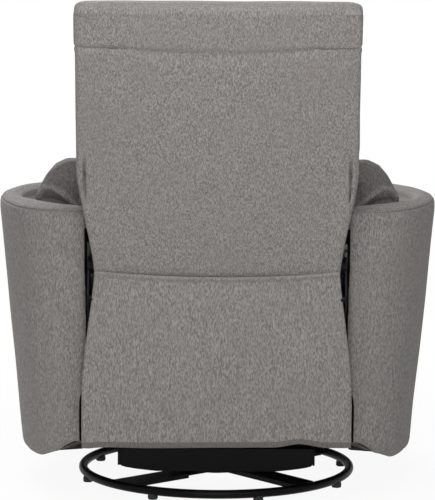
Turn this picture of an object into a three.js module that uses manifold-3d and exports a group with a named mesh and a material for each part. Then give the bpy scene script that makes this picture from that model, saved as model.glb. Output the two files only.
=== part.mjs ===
// A swivel glider recliner with padded tub arms, a reclining back, a tilting
// head section and a footrest on a two-stage scissor.
// Millimetres. +Z is up, the sitter faces -Y, x = 0 is the middle of the seat,
// and the swivel axis is the Z axis. Floor at z = 0.
import * as THREE from 'three';
import { mergeVertices } from 'three/addons/utils/BufferGeometryUtils.js';
import Module from 'manifold-3d';

const wasm = await Module();
wasm.setup();

// Gaps
const SEAT_GAP = 0.3; // between pieces that touch or are fastened
const PIN_CLEARANCE = 0.35; // between a pin and the wall of its bore
const CUT_OVERRUN = 2; // how far a cutting tool runs past what it cuts

// Half of the room between the arms, which sets the widths of what stands in it
const ARM_INNER_X = 272; // the straight inner side of an arm below the seat
const DECK_TO_ARM = 74; // room for a stand, a glide link, a rail and its flange
const PLATE_TO_ARM = 19; // room for a slide guide
const FRAME_TO_PLATE = 15; // room for a recline bracket and its boss
const SEAM_TO_PLATE = 10;
const BACK_PAST_ARM = 4; // the back is wider than that room, above the arms
const CUSHION_TO_ARM = 4;
const PAD_TO_ARM = 10;
const BOARD_TO_ARM = 24;

// Base ring on the floor
const FOOT_COUNT = 8;
const FOOT_RADIUS = 9;
const FOOT_HEIGHT = 7.5;
const FOOT_SADDLE = 5; // how far a foot wraps up the ring's tube
const RING_RADIUS = 280; // to the middle of the tube
const RING_TUBE_RADIUS = 9.5;
const BASE_TURN = THREE.MathUtils.degToRad(-4.75); // the base as it stands under the chair
const BAR_WIDTH = 56;
const BAR_THICKNESS = 4;
const BAR_RIB_HEIGHT = 5; // the folded edges that stiffen a cross bar
const BAR_RIB_WIDTH = 3;

// Swivel
const BOLT_RADIUS = 9;
const BOLT_HEAD_RADIUS = 27;
const BOLT_HEAD_HEIGHT = 7;
const BOLT_NUT_RADIUS = 17;
const BOLT_NUT_HEIGHT = 9;
const PEDESTAL_FOOT_RADIUS = 96;
const PEDESTAL_TOP_RADIUS = 66;
const PEDESTAL_HEIGHT = 24;
const PEDESTAL_SHELL = 3;
const RACE_RADIUS = 74;
const RACE_THICKNESS = 6;
const RACE_RUNNING_GAP = 0.6;

// Deck that turns on the swivel and carries the glide links
const DECK_HALF_WIDTH = ARM_INNER_X - DECK_TO_ARM;
const DECK_PLATE = 3;
const DECK_CENTRE_HALF = 92;
const CHANNEL_REACH = 135; // from the swivel axis to the middle of a cross channel
const CHANNEL_WIDTH = 56;
const CHANNEL_HEIGHT = 34;
const APRON_DROP = 13; // the outer wall of a channel bows down this far below it
const APRON_END_SHARE = 0.62; // the bow's level part, as a share of the half width
const STAND_THICKNESS = 4;
const STAND_HALF_LENGTH = 166;
const STAND_TOWER_FOOT = 34; // half width of a tower where it leaves the stand's low web
const STAND_EYE_RADIUS = 17;

// Glide links
const GLIDE_LINK_LENGTH = 110;
const GLIDE_PIVOT_REACH = 110; // front and rear pivots, from the swivel axis
const GLIDE_PIVOT_RISE = 162; // from the deck to the upper pivots
const GLIDE_PIN_RADIUS = 6;
const GLIDE_COLLAR_RADIUS = 9.5;
const GLIDE_COLLAR = 4;
const LINK_THICKNESS = 5;
const LINK_EYE_RADIUS = 15;
const LINK_WAIST = 9; // half width of a link between its eyes
const PIN_HEAD = 2.5;

// Chair frame that hangs in the links
const RAIL_THICKNESS = 4;
const RAIL_HEIGHT = 32;
const RAIL_END_HEIGHT = 14; // a rail is shallower at its ends
const RAIL_DEEP_HALF = 140;
const RAIL_FLANGE = 18;
const CROSS_RAIL_HEIGHT = 50;
const CROSS_RAIL_WIDTH = 30;
const FRONT_RAIL_Y = -265;
const REAR_RAIL_Y = 250;

// Tub arms
const ARM_HALF_WIDTH = 462; // at the rim, before its shoulder turns in
const ARM_REAR_Y = 300;
const ARM_FRONT_Y = -458;
const ARM_RIM_REAR_Z = 597;
const ARM_RIM_FRONT_Z = 572;
const ARM_BOTTOM_Z = 58;
const ARM_REAR_RISE = 68; // how far the underside rises at the rear end
const ARM_REAR_RISE_LENGTH = 262;
const ARM_TAPER = 54; // how far the outside leans in from rim to bottom
const ARM_SHOULDER = 5; // how far the outside turns in again at the rim
const ARM_SHOULDER_DROP = 36; // where that turn starts, below the rim
const ARM_BOTTOM_ROUND = 30;
const ARM_RIM_CROWN = 5;
const ARM_RIM_ROUND = 9;
const ARM_SCOOP_Z = 455; // where the inner side starts to lean outwards
const ARM_END_ROUND = 4; // least width of an arm's end
const ARM_END_SETBACK = 40; // the inner side stops this far short of the ends
const ARM_REAR_LEAN = 0.4; // the rear end leans in this much less
const UNDERSIDE_THICKNESS = 4;
const UNDERSIDE_INSET = 7;
const UNDERSIDE_GAP = 1.5;

// Seat
const PLATE_X = ARM_INNER_X - PLATE_TO_ARM; // inner face of a mechanism side plate
const PLATE_THICKNESS = 4;
const GUIDE_HEIGHT = 30;
const GUIDE_WALL = 3;
const GUIDE_Z = 315;
const GUIDE_FRONT_Y = -262;
const GUIDE_REAR_Y = 110;
const SLIDER_FRONT_Y = -205;
const SLIDER_REAR_Y = 60;
const SLIDE_CLEARANCE = 0.5;
const PLATE_FLANGE_WIDTH = 27;
const SEAT_FRAME_BOTTOM_Z = 316;
const SEAT_FRAME_THICKNESS = 28;
const SEAT_FRAME_INSET = 3;
const SEAT_FRAME_HALF_WIDTH = PLATE_X - SEAT_FRAME_INSET;
const SEAT_NOSE_HALF_WIDTH = PLATE_X - PLATE_FLANGE_WIDTH;
const SEAT_FRAME_STEP_Y = -312;
const SEAT_FRAME_FRONT_Y = -375;
const SEAT_FRAME_REAR_Y = 216;
const SEAT_RAIL_WIDTH = 42;
const SPRING_COUNT = 4;
const SPRING_WIRE = 2;
const SPRING_SPREAD = 92; // from one spring to the next
const SPRING_AMPLITUDE = 24;
const SPRING_LOOPS = 10;
const SPRING_TAIL = 10; // straight ends in the frame's clips
const SEAT_CUSHION_HALF_WIDTH = ARM_INNER_X - CUSHION_TO_ARM;
const SEAT_CUSHION_FRONT_Y = -458;
const SEAT_CUSHION_THICKNESS = 128;
const SEAT_CUSHION_CROWN = 12;
const SEAT_CUSHION_ROUND = 34;
const SEAT_CUSHION_DRAW = 6; // how far the long sides draw in between the corners

// Reclining back
const RECLINE_Y = 305;
const RECLINE_Z = 485;
const RECLINE_PIN_RADIUS = 8;
const RECLINE_BOSS_RADIUS = 16;
const BACK_TILT = THREE.MathUtils.degToRad(12);
const BACK_ROLL_RADIUS = 45; // the outside back's lower roll about the recline axis
const BACK_ROLL_ANGLE = THREE.MathUtils.degToRad(62);
const TOP_Z = 1016; // overall height
const BACK_PANEL_THICKNESS = 22;
const BACK_PANEL_CROWN = 5;
const BACK_HALF_WIDTH = ARM_INNER_X + BACK_PAST_ARM;
const BACK_SEAM_HALF_WIDTH = PLATE_X - SEAM_TO_PLATE;
const BACK_TAPER_END = 205; // above this, measured along the back, the sides run straight
const BACK_FRAME_HALF_WIDTH = PLATE_X - FRAME_TO_PLATE;
const BACK_FRAME_THICKNESS = 26;
const BACK_FRAME_BAR = 40;
const BACK_FRAME_START = 34;
const BACK_CUSHION_DEPTH = 205; // from the rear surface to the cushion's front
const BACK_CUSHION_CROWN = 14;
const BACK_CUSHION_HEEL_RADIUS = 128; // the cushion's foot turns past the seat inside this radius
const BACK_CUSHION_HEEL_DROP = 62;
const BRACKET_THICKNESS = 4;
const BRACKET_LENGTH = 150;
const LUMBAR_WING_REACH = 100; // a wing reaches this far out past the arm's inner side
const LUMBAR_HALF_WIDTH = ARM_INNER_X + LUMBAR_WING_REACH;
const LUMBAR_START = -32; // its foot and top, along the back
const LUMBAR_END = 156;
const LUMBAR_DEPTH = 92;
const LUMBAR_MIDDLE_DEPTH = 222; // from the back's rear surface to the cushion's middle
const LUMBAR_WING_FORWARD = 66;
const LUMBAR_WING_LIFT = 50;
const LUMBAR_WING_DROP = 30;
const LUMBAR_TIP_DROP = 26;

// Head section
const CREASE_Z = 922; // the level fold between back and head section
const CREASE_GAP = 3;
const CREASE_LEVEL_START = 230; // above this, along the back, its sections turn level
const HEAD_OVERHANG = 2; // the head section is this much wider than the back
const HEAD_HALF_WIDTH = BACK_HALF_WIDTH + HEAD_OVERHANG;
const HEAD_DEPTH = 192;
const HEAD_HINGE_ROUND = 40; // the front lower edge is round about the hinge axis
const HEAD_TOP_ROUND = 34;
const HEAD_TOP_FALL = 5; // the top is this much lower at its front
const HEAD_CORNER_ROUND = 22;
const HEAD_HINGE_X = 150; // where the two hinge arms stand
const HEAD_HINGE_PLATE = 4;
const HEAD_HINGE_EYE = 13;
const HEAD_HINGE_PIN_RADIUS = 4;
const HEAD_HINGE_PIN_REACH = 9;
const HEAD_HINGE_CLEARANCE = 2.5;

// Rear skirt
const SKIRT_THICKNESS = 5;
const SKIRT_EASE = 2; // wider than the back's seam at its top, and clear of the arms at its foot
const SKIRT_TOP_HALF_WIDTH = BACK_SEAM_HALF_WIDTH + SKIRT_EASE;
const SKIRT_HALF_WIDTH = ARM_INNER_X - SKIRT_EASE;
const SKIRT_TOP_Z = 462; // its top stays below the reclined back
const SKIRT_SEAM_BOW = 3; // the seam is lower in the middle
const SKIRT_BOTTOM_Z = 126;
const SKIRT_Y = 350.8; // its front face
const SKIRT_FOLD = 3;
const SKIRT_RAIL_RADIUS = 8;
const SKIRT_RAIL_DROP = 60;

// Footrest scissor
const SCISSOR_Y = -325;
const SCISSOR_Z = 300;
const SCISSOR_LENGTH = 176; // between the end pivots of a link
const SCISSOR_REST = THREE.MathUtils.degToRad(6); // from vertical when folded
const SCISSOR_LINK_HALF = 8;
const SCISSOR_THICKNESS = 4;
const SCISSOR_LAYER_GAP = 1.5;
const SCISSOR_PIN_RADIUS = 4;
const SCISSOR_TUBE_RADIUS = 8;
const SCISSOR_SLOT_TRAVEL = 159;
const BOARD_THICKNESS = 10;
const BOARD_HALF_WIDTH = ARM_INNER_X - BOARD_TO_ARM;
const BOARD_LEAN = THREE.MathUtils.degToRad(5); // its foot is tucked in under the chair
const BOARD_REACH = 30; // from the board's hinge line to its rear face
const BOARD_RISE = 26; // above the hinge line
const BOARD_DROP = 222; // below the hinge line
const BOARD_BRACKET_FLANGE = 26;
const BOARD_BRACKET_THICKNESS = 3;
const PAD_HALF_WIDTH = ARM_INNER_X - PAD_TO_ARM;
const PAD_THICKNESS = 62.5;
const PAD_OVERHANG = 8;
const PAD_CROWN = 9;
const PAD_ROUND = 24;

// Release pull beside the seat cushion
const PULL_Y = -150;
const PULL_THICKNESS = 4;
const PULL_WIDTH = 34;
const PULL_TOP_Z = 548;
const PULL_BOTTOM_Z = 396;
const PULL_LOOP_HOLE = 20;

// Finishes
const upholstery = () => new THREE.MeshStandardMaterial({ color: 0x827e7b, roughness: 0.95, metalness: 0 });
const blackSteel = () => new THREE.MeshStandardMaterial({ color: 0x121212, roughness: 0.42, metalness: 0.6 });
const zincSteel = () => new THREE.MeshStandardMaterial({ color: 0x9a9c9c, roughness: 0.38, metalness: 0.9 });
const rubber = () => new THREE.MeshStandardMaterial({ color: 0x0d0d0d, roughness: 0.85, metalness: 0 });
const timber = () => new THREE.MeshStandardMaterial({ color: 0xb08a5a, roughness: 0.7, metalness: 0 });
const liningCloth = () => new THREE.MeshStandardMaterial({ color: 0x0f0f0f, roughness: 0.98, metalness: 0 });

const SIDES = [{ name: 'left', sign: 1 }, { name: 'right', sign: -1 }];
const FRONT_REAR = [{ name: 'front', sign: -1 }, { name: 'rear', sign: 1 }];

// Solids and booleans

function solidOf(geometry) {
  const bare = new THREE.BufferGeometry();
  bare.setAttribute('position', geometry.getAttribute('position').clone());
  if (geometry.index) bare.setIndex(geometry.index.clone());
  const merged = mergeVertices(bare, 1e-3);
  const corners = merged.index.array;
  const kept = [];
  for (let i = 0; i < corners.length; i += 3) {
    const [a, b, c] = [corners[i], corners[i + 1], corners[i + 2]];
    if (a !== b && b !== c && c !== a) kept.push(a, b, c);
  }
  return new wasm.Manifold(new wasm.Mesh({
    numProp: 3,
    vertProperties: new Float32Array(merged.getAttribute('position').array),
    triVerts: new Uint32Array(kept),
  }));
}

function geometryOf(solid) {
  const mesh = solid.getMesh();
  const geometry = new THREE.BufferGeometry();
  geometry.setAttribute('position', new THREE.BufferAttribute(new Float32Array(mesh.vertProperties), 3));
  geometry.setIndex(new THREE.BufferAttribute(new Uint32Array(mesh.triVerts), 1));
  geometry.computeVertexNormals();
  return geometry;
}

function join(...geometries) {
  return geometryOf(geometries.map(solidOf).reduce((sum, next) => sum.add(next)));
}

function cut(base, ...tools) {
  return geometryOf(tools.map(solidOf).reduce((rest, tool) => rest.subtract(tool), solidOf(base)));
}

function piece(name, geometry, material) {
  const mesh = new THREE.Mesh(geometry, material);
  mesh.name = name;
  return mesh;
}

function mirrored(geometry, sign) {
  if (sign > 0) return geometry;
  const copy = geometry.clone().applyMatrix4(new THREE.Matrix4().makeScale(-1, 1, 1));
  const corners = copy.index ? copy.index.array : null;
  if (!corners) return geometryOf(solidOf(flipLoose(copy)));
  for (let i = 0; i < corners.length; i += 3) [corners[i], corners[i + 1]] = [corners[i + 1], corners[i]];
  copy.computeVertexNormals();
  return copy;
}

function flipLoose(geometry) {
  const place = geometry.getAttribute('position');
  const order = [];
  for (let i = 0; i < place.count; i += 3) order.push(i + 1, i, i + 2);
  geometry.setIndex(order);
  return geometry;
}

// Plain forms placed by their limits

function block(x0, x1, y0, y1, z0, z1) {
  return new THREE.BoxGeometry(x1 - x0, y1 - y0, z1 - z0)
    .translate((x0 + x1) / 2, (y0 + y1) / 2, (z0 + z1) / 2);
}

function rodAlongX(radius, x0, x1, y, z, sides = 16) {
  return new THREE.CylinderGeometry(radius, radius, x1 - x0, sides)
    .rotateZ(Math.PI / 2)
    .translate((x0 + x1) / 2, y, z);
}

function rodAlongZ(radius, z0, z1, x, y, sides = 24) {
  return new THREE.CylinderGeometry(radius, radius, z1 - z0, sides)
    .rotateX(Math.PI / 2)
    .translate(x, y, (z0 + z1) / 2);
}

// A flat outline drawn in (y, z), as thick as x0 to x1
function sheetAcrossX(outline, x0, x1) {
  const turned = new THREE.Matrix4().makeBasis(
    new THREE.Vector3(0, 1, 0), new THREE.Vector3(0, 0, 1), new THREE.Vector3(1, 0, 0),
  );
  return new THREE.ExtrudeGeometry(outline, { depth: x1 - x0, bevelEnabled: false, curveSegments: 6 })
    .applyMatrix4(turned)
    .translate(x0, 0, 0);
}

function sheetAcrossZ(outline, z0, z1) {
  return new THREE.ExtrudeGeometry(outline, { depth: z1 - z0, bevelEnabled: false, curveSegments: 10 })
    .translate(0, 0, z0);
}

// A solid of revolution about Z from a closed (radius, height) profile
function turnedAboutZ(profile, sides) {
  return new THREE.LatheGeometry(profile.map(([r, z]) => new THREE.Vector2(r, z)), sides)
    .rotateX(Math.PI / 2);
}

function roundHole(y, z, radius) {
  const hole = new THREE.Path();
  hole.absarc(y, z, radius, 0, 2 * Math.PI, true);
  return hole;
}

// A link between two pivots: two round eyes and a straight waist
function linkOutline(y0, z0, y1, z1, eye, waist) {
  const along = Math.atan2(z1 - z0, y1 - y0);
  const open = Math.asin(Math.min(1, waist / eye));
  const outline = new THREE.Shape();
  outline.absarc(y0, z0, eye, along + open, along - open + 2 * Math.PI, false);
  outline.absarc(y1, z1, eye, along + Math.PI + open, along + 3 * Math.PI - open, false);
  outline.closePath();
  return outline;
}

// Rings of points joined into a skin, with a fan over each end
function closedLoft(rings) {
  const count = rings[0].length;
  const places = rings.flat().flatMap((p) => [p.x, p.y, p.z]);
  const corners = [];
  for (let k = 0; k + 1 < rings.length; k += 1) {
    for (let i = 0; i < count; i += 1) {
      const j = (i + 1) % count;
      const [a, b, c, d] = [k * count + i, k * count + j, (k + 1) * count + j, (k + 1) * count + i];
      corners.push(a, b, c, a, c, d);
    }
  }
  for (const [ring, forward] of [[0, false], [rings.length - 1, true]]) {
    const middle = rings[ring].reduce((sum, p) => sum.add(p), new THREE.Vector3()).divideScalar(count);
    const hub = places.length / 3;
    places.push(middle.x, middle.y, middle.z);
    for (let i = 0; i < count; i += 1) {
      const [a, b] = [ring * count + i, ring * count + ((i + 1) % count)];
      if (forward) corners.push(a, b, hub);
      else corners.push(b, a, hub);
    }
  }
  const geometry = new THREE.BufferGeometry();
  geometry.setAttribute('position', new THREE.Float32BufferAttribute(places, 3));
  geometry.setIndex(corners);
  return facingOut(geometry);
}

function facingOut(geometry) {
  const place = geometry.getAttribute('position');
  const corners = geometry.index.array;
  const [a, b, c] = [new THREE.Vector3(), new THREE.Vector3(), new THREE.Vector3()];
  let volume = 0;
  for (let i = 0; i < corners.length; i += 3) {
    a.fromBufferAttribute(place, corners[i]);
    b.fromBufferAttribute(place, corners[i + 1]);
    c.fromBufferAttribute(place, corners[i + 2]);
    volume += a.dot(b.cross(c));
  }
  if (volume < 0) {
    for (let i = 0; i < corners.length; i += 3) [corners[i], corners[i + 1]] = [corners[i + 1], corners[i]];
  }
  geometry.computeVertexNormals();
  return geometry;
}

const lerp = THREE.MathUtils.lerp;
const smooth = (value, low, high) => THREE.MathUtils.smoothstep(value, low, high);

// A closed rounded outline in a plane: half sizes a and b, squareness by the power
function squareRound(a, b, power, count) {
  const points = [];
  for (let i = 0; i < count; i += 1) {
    const angle = (2 * Math.PI * (i + 0.5)) / count;
    const [c, s] = [Math.cos(angle), Math.sin(angle)];
    points.push([a * Math.sign(c) * Math.abs(c) ** (2 / power), b * Math.sign(s) * Math.abs(s) ** (2 / power)]);
  }
  return points;
}

// Heights that follow from the sizes above
const RING_Z = FOOT_HEIGHT + SEAT_GAP + RING_TUBE_RADIUS;
const LOWER_BAR_TOP = RING_Z - SEAT_GAP / 2;
const UPPER_BAR_BOTTOM = RING_Z + SEAT_GAP / 2;
const UPPER_BAR_TOP = UPPER_BAR_BOTTOM + BAR_THICKNESS;
const PEDESTAL_BOTTOM = UPPER_BAR_TOP + SEAT_GAP;
const PEDESTAL_TOP = PEDESTAL_BOTTOM + PEDESTAL_HEIGHT;
const RACE_BOTTOM = PEDESTAL_TOP + RACE_RUNNING_GAP;
const RACE_TOP = RACE_BOTTOM + RACE_THICKNESS;
const DECK_Z = RACE_TOP + SEAT_GAP;
const UPPER_PIVOT_Z = DECK_Z + GLIDE_PIVOT_RISE + SEAT_GAP;
const LOWER_PIVOT_Z = UPPER_PIVOT_Z - GLIDE_LINK_LENGTH;

// Base: a tube ring on eight feet, two crossing bars and the swivel pedestal

function baseRing() {
  return new THREE.TorusGeometry(RING_RADIUS, RING_TUBE_RADIUS, 10, 64).translate(0, 0, RING_Z);
}

function ringCutter() {
  return new THREE.TorusGeometry(RING_RADIUS, RING_TUBE_RADIUS + SEAT_GAP, 10, 64).translate(0, 0, RING_Z);
}

function crossBar(top, ribsUp) {
  const half = RING_RADIUS;
  const rib = ribsUp ? [top, top + BAR_RIB_HEIGHT] : [top - BAR_THICKNESS - BAR_RIB_HEIGHT, top - BAR_THICKNESS];
  const plate = block(-half, half, -BAR_WIDTH / 2, BAR_WIDTH / 2, top - BAR_THICKNESS, top);
  const ribStart = BAR_WIDTH;
  const ribs = [-1, 1].flatMap((end) => [-1, 1].map((edge) => {
    const [y0, y1] = [edge * (BAR_WIDTH / 2 - BAR_RIB_WIDTH), (edge * BAR_WIDTH) / 2].sort((p, q) => p - q);
    const [x0, x1] = [end * Math.max(ribStart, PEDESTAL_FOOT_RADIUS + CUT_OVERRUN), end * half].sort((p, q) => p - q);
    return block(x0, x1, y0, y1, rib[0], rib[1]);
  }));
  const bolt = rodAlongZ(BOLT_RADIUS + PIN_CLEARANCE, RING_Z - RING_RADIUS, RING_Z + RING_RADIUS, 0, 0);
  return cut(join(plate, ...ribs), ringCutter(), bolt);
}

function insideRingOnly(geometry) {
  const room = rodAlongZ(RING_RADIUS, RING_Z - RING_RADIUS, RING_Z + RING_RADIUS, 0, 0, 64);
  return geometryOf(solidOf(geometry).intersect(solidOf(room)));
}

function ringFoot(index) {
  const angle = (2 * Math.PI * (index + 0.5)) / FOOT_COUNT;
  const [x, y] = [RING_RADIUS * Math.cos(angle), RING_RADIUS * Math.sin(angle)];
  const flare = 1.15;
  const profile = [
    [0, 0], [FOOT_RADIUS, 0], [FOOT_RADIUS * flare, FOOT_HEIGHT / 3],
    [FOOT_RADIUS * flare, FOOT_HEIGHT], [FOOT_RADIUS, FOOT_HEIGHT + FOOT_SADDLE], [0, FOOT_HEIGHT + FOOT_SADDLE],
  ];
  return cut(turnedAboutZ(profile, 14).translate(x, y, 0), ringCutter());
}

function swivelPedestal() {
  const shell = PEDESTAL_SHELL;
  const bore = BOLT_RADIUS + PIN_CLEARANCE;
  const lip = shell * 3;
  const profile = [
    [bore, PEDESTAL_TOP - shell], [PEDESTAL_TOP_RADIUS - shell, PEDESTAL_TOP - shell],
    [PEDESTAL_FOOT_RADIUS - lip - shell, PEDESTAL_BOTTOM + shell], [PEDESTAL_FOOT_RADIUS - lip - shell, PEDESTAL_BOTTOM],
    [PEDESTAL_FOOT_RADIUS, PEDESTAL_BOTTOM], [PEDESTAL_FOOT_RADIUS, PEDESTAL_BOTTOM + shell],
    [PEDESTAL_FOOT_RADIUS - lip, PEDESTAL_BOTTOM + shell], [PEDESTAL_TOP_RADIUS, PEDESTAL_TOP], [bore, PEDESTAL_TOP],
  ];
  return turnedAboutZ([...profile, profile[0]], 40);
}

function swivelBolt() {
  const headTop = LOWER_BAR_TOP - BAR_THICKNESS - SEAT_GAP;
  const nutBottom = DECK_Z + DECK_PLATE + SEAT_GAP;
  const profile = [
    [0, headTop - BOLT_HEAD_HEIGHT], [BOLT_HEAD_RADIUS * 0.9, headTop - BOLT_HEAD_HEIGHT],
    [BOLT_HEAD_RADIUS, headTop - BOLT_HEAD_HEIGHT / 2], [BOLT_HEAD_RADIUS, headTop], [BOLT_RADIUS, headTop],
    [BOLT_RADIUS, nutBottom], [BOLT_NUT_RADIUS, nutBottom], [BOLT_NUT_RADIUS, nutBottom + BOLT_NUT_HEIGHT],
    [0, nutBottom + BOLT_NUT_HEIGHT],
  ];
  return turnedAboutZ(profile, 24);
}

function baseAssembly() {
  const base = new THREE.Group();
  base.add(piece('base_ring', baseRing(), blackSteel()));
  const lower = insideRingOnly(crossBar(LOWER_BAR_TOP, false)).rotateZ(Math.PI / 4);
  const upper = insideRingOnly(crossBar(UPPER_BAR_TOP, true)).rotateZ(-Math.PI / 4);
  base.add(piece('cross_bar_lower', lower, blackSteel()));
  base.add(piece('cross_bar_upper', upper, blackSteel()));
  base.add(piece('swivel_pedestal', swivelPedestal(), blackSteel()));
  base.add(piece('swivel_bolt', swivelBolt(), zincSteel()));
  for (let index = 0; index < FOOT_COUNT; index += 1) {
    base.add(piece(`foot_${index + 1}`, ringFoot(index), rubber()));
  }
  base.rotation.z = BASE_TURN;
  return base;
}

// Deck: bearing race, cross channels and the two stands the links hang from

function swivelRace() {
  const bore = BOLT_RADIUS + PIN_CLEARANCE;
  const step = RACE_THICKNESS / 2;
  const profile = [
    [bore, RACE_BOTTOM + step], [PEDESTAL_TOP_RADIUS / 2, RACE_BOTTOM + step], [PEDESTAL_TOP_RADIUS / 2, RACE_BOTTOM],
    [RACE_RADIUS - step, RACE_BOTTOM], [RACE_RADIUS, RACE_BOTTOM + step], [RACE_RADIUS, RACE_TOP], [bore, RACE_TOP],
  ];
  return turnedAboutZ([...profile, profile[0]], 40);
}

// The bowed lower edge of a channel's outer wall, between the two stands
function deckApron(sign) {
  const [half, level] = [DECK_HALF_WIDTH, DECK_HALF_WIDTH * APRON_END_SHARE];
  const outline = new THREE.Shape();
  outline.moveTo(-half, DECK_Z + CHANNEL_HEIGHT);
  outline.lineTo(-half, DECK_Z);
  outline.quadraticCurveTo(-half + DECK_PLATE, DECK_Z - APRON_DROP / 2, -level, DECK_Z - APRON_DROP);
  outline.lineTo(level, DECK_Z - APRON_DROP);
  outline.quadraticCurveTo(half - DECK_PLATE, DECK_Z - APRON_DROP / 2, half, DECK_Z);
  outline.lineTo(half, DECK_Z + CHANNEL_HEIGHT);
  const outer = sign * (CHANNEL_REACH + CHANNEL_WIDTH / 2);
  return new THREE.ExtrudeGeometry(outline, { depth: DECK_PLATE, bevelEnabled: false, curveSegments: 5 })
    .rotateX(Math.PI / 2)
    .translate(0, sign > 0 ? outer : outer + DECK_PLATE, 0);
}

function deckFrame() {
  const aprons = FRONT_REAR.map(({ sign }) => deckApron(sign));
  const channels = FRONT_REAR.map(({ sign }) => {
    const [y0, y1] = [sign * CHANNEL_REACH - CHANNEL_WIDTH / 2, sign * CHANNEL_REACH + CHANNEL_WIDTH / 2];
    const whole = block(-DECK_HALF_WIDTH, DECK_HALF_WIDTH, y0, y1, DECK_Z, DECK_Z + CHANNEL_HEIGHT);
    const hollow = block(
      -DECK_HALF_WIDTH - CUT_OVERRUN, DECK_HALF_WIDTH + CUT_OVERRUN,
      y0 + DECK_PLATE, y1 - DECK_PLATE, DECK_Z + DECK_PLATE, DECK_Z + CHANNEL_HEIGHT + CUT_OVERRUN,
    );
    return cut(whole, hollow);
  });
  const centre = block(
    -DECK_CENTRE_HALF, DECK_CENTRE_HALF, -CHANNEL_REACH, CHANNEL_REACH, DECK_Z, DECK_Z + DECK_PLATE,
  );
  const bolt = rodAlongZ(BOLT_RADIUS + PIN_CLEARANCE, DECK_Z - CUT_OVERRUN, DECK_Z + CHANNEL_HEIGHT, 0, 0);
  return cut(join(centre, ...channels, ...aprons), bolt);
}

// Faces of the layers beside the deck, from the middle outwards
const STAND_X = DECK_HALF_WIDTH + SEAT_GAP;
const GLIDE_LINK_X = STAND_X + STAND_THICKNESS + GLIDE_COLLAR + SEAT_GAP;
const RAIL_X = GLIDE_LINK_X + LINK_THICKNESS + GLIDE_COLLAR + SEAT_GAP;

// A pin with a collar behind the part it carries and a head in front of it
function headedPin(x0, partStart, partEnd, y, z, radius, collar) {
  return [
    rodAlongX(collar, x0, partStart - SEAT_GAP, y, z, 14),
    rodAlongX(radius, partStart - 2 * SEAT_GAP, partEnd + 2 * SEAT_GAP, y, z, 14),
    rodAlongX(collar, partEnd + SEAT_GAP, partEnd + SEAT_GAP + PIN_HEAD, y, z, 14),
  ];
}

function pivotStand() {
  const low = DECK_Z;
  const web = DECK_Z + CHANNEL_HEIGHT;
  const outline = new THREE.Shape();
  outline.moveTo(-STAND_HALF_LENGTH, low);
  outline.lineTo(STAND_HALF_LENGTH, low);
  outline.lineTo(STAND_HALF_LENGTH, web);
  outline.lineTo(GLIDE_PIVOT_REACH + STAND_TOWER_FOOT, web);
  outline.absarc(GLIDE_PIVOT_REACH, UPPER_PIVOT_Z, STAND_EYE_RADIUS, 0, Math.PI, false);
  outline.lineTo(GLIDE_PIVOT_REACH - STAND_TOWER_FOOT, web);
  outline.lineTo(-GLIDE_PIVOT_REACH + STAND_TOWER_FOOT, web);
  outline.absarc(-GLIDE_PIVOT_REACH, UPPER_PIVOT_Z, STAND_EYE_RADIUS, 0, Math.PI, false);
  outline.lineTo(-GLIDE_PIVOT_REACH - STAND_TOWER_FOOT, web);
  outline.lineTo(-STAND_HALF_LENGTH, web);
  const plate = sheetAcrossX(outline, STAND_X, STAND_X + STAND_THICKNESS);
  const pins = FRONT_REAR.flatMap(({ sign }) => headedPin(
    STAND_X + STAND_THICKNESS - SEAT_GAP, GLIDE_LINK_X, GLIDE_LINK_X + LINK_THICKNESS,
    sign * GLIDE_PIVOT_REACH, UPPER_PIVOT_Z, GLIDE_PIN_RADIUS, GLIDE_COLLAR_RADIUS,
  ));
  return join(plate, ...pins);
}

function glideLink(sign) {
  const y = sign * GLIDE_PIVOT_REACH;
  const outline = linkOutline(y, UPPER_PIVOT_Z, y, LOWER_PIVOT_Z, LINK_EYE_RADIUS, LINK_WAIST);
  outline.holes.push(roundHole(y, UPPER_PIVOT_Z, GLIDE_PIN_RADIUS + PIN_CLEARANCE));
  const plate = sheetAcrossX(outline, GLIDE_LINK_X, GLIDE_LINK_X + LINK_THICKNESS);
  const pin = headedPin(
    GLIDE_LINK_X + LINK_THICKNESS - SEAT_GAP, RAIL_X, RAIL_X + RAIL_THICKNESS,
    y, LOWER_PIVOT_Z, GLIDE_PIN_RADIUS, GLIDE_COLLAR_RADIUS,
  );
  return join(plate, ...pin);
}

function deckAssembly() {
  const deck = new THREE.Group();
  deck.add(piece('swivel_race', swivelRace(), zincSteel()));
  deck.add(piece('deck_frame', deckFrame(), blackSteel()));
  for (const side of SIDES) {
    deck.add(piece(`pivot_stand_${side.name}`, mirrored(pivotStand(), side.sign), blackSteel()));
    for (const end of FRONT_REAR) {
      deck.add(piece(`glide_link_${end.name}_${side.name}`, mirrored(glideLink(end.sign), side.sign), zincSteel()));
    }
  }
  return deck;
}

// Chair frame: rails that hang in the links, cross rails, slide guides and the arms

const RAIL_TOP_Z = LOWER_PIVOT_Z + RAIL_HEIGHT / 2;
const CROSS_RAIL_BOTTOM_Z = RAIL_TOP_Z + RAIL_THICKNESS + SEAT_GAP;

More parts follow.
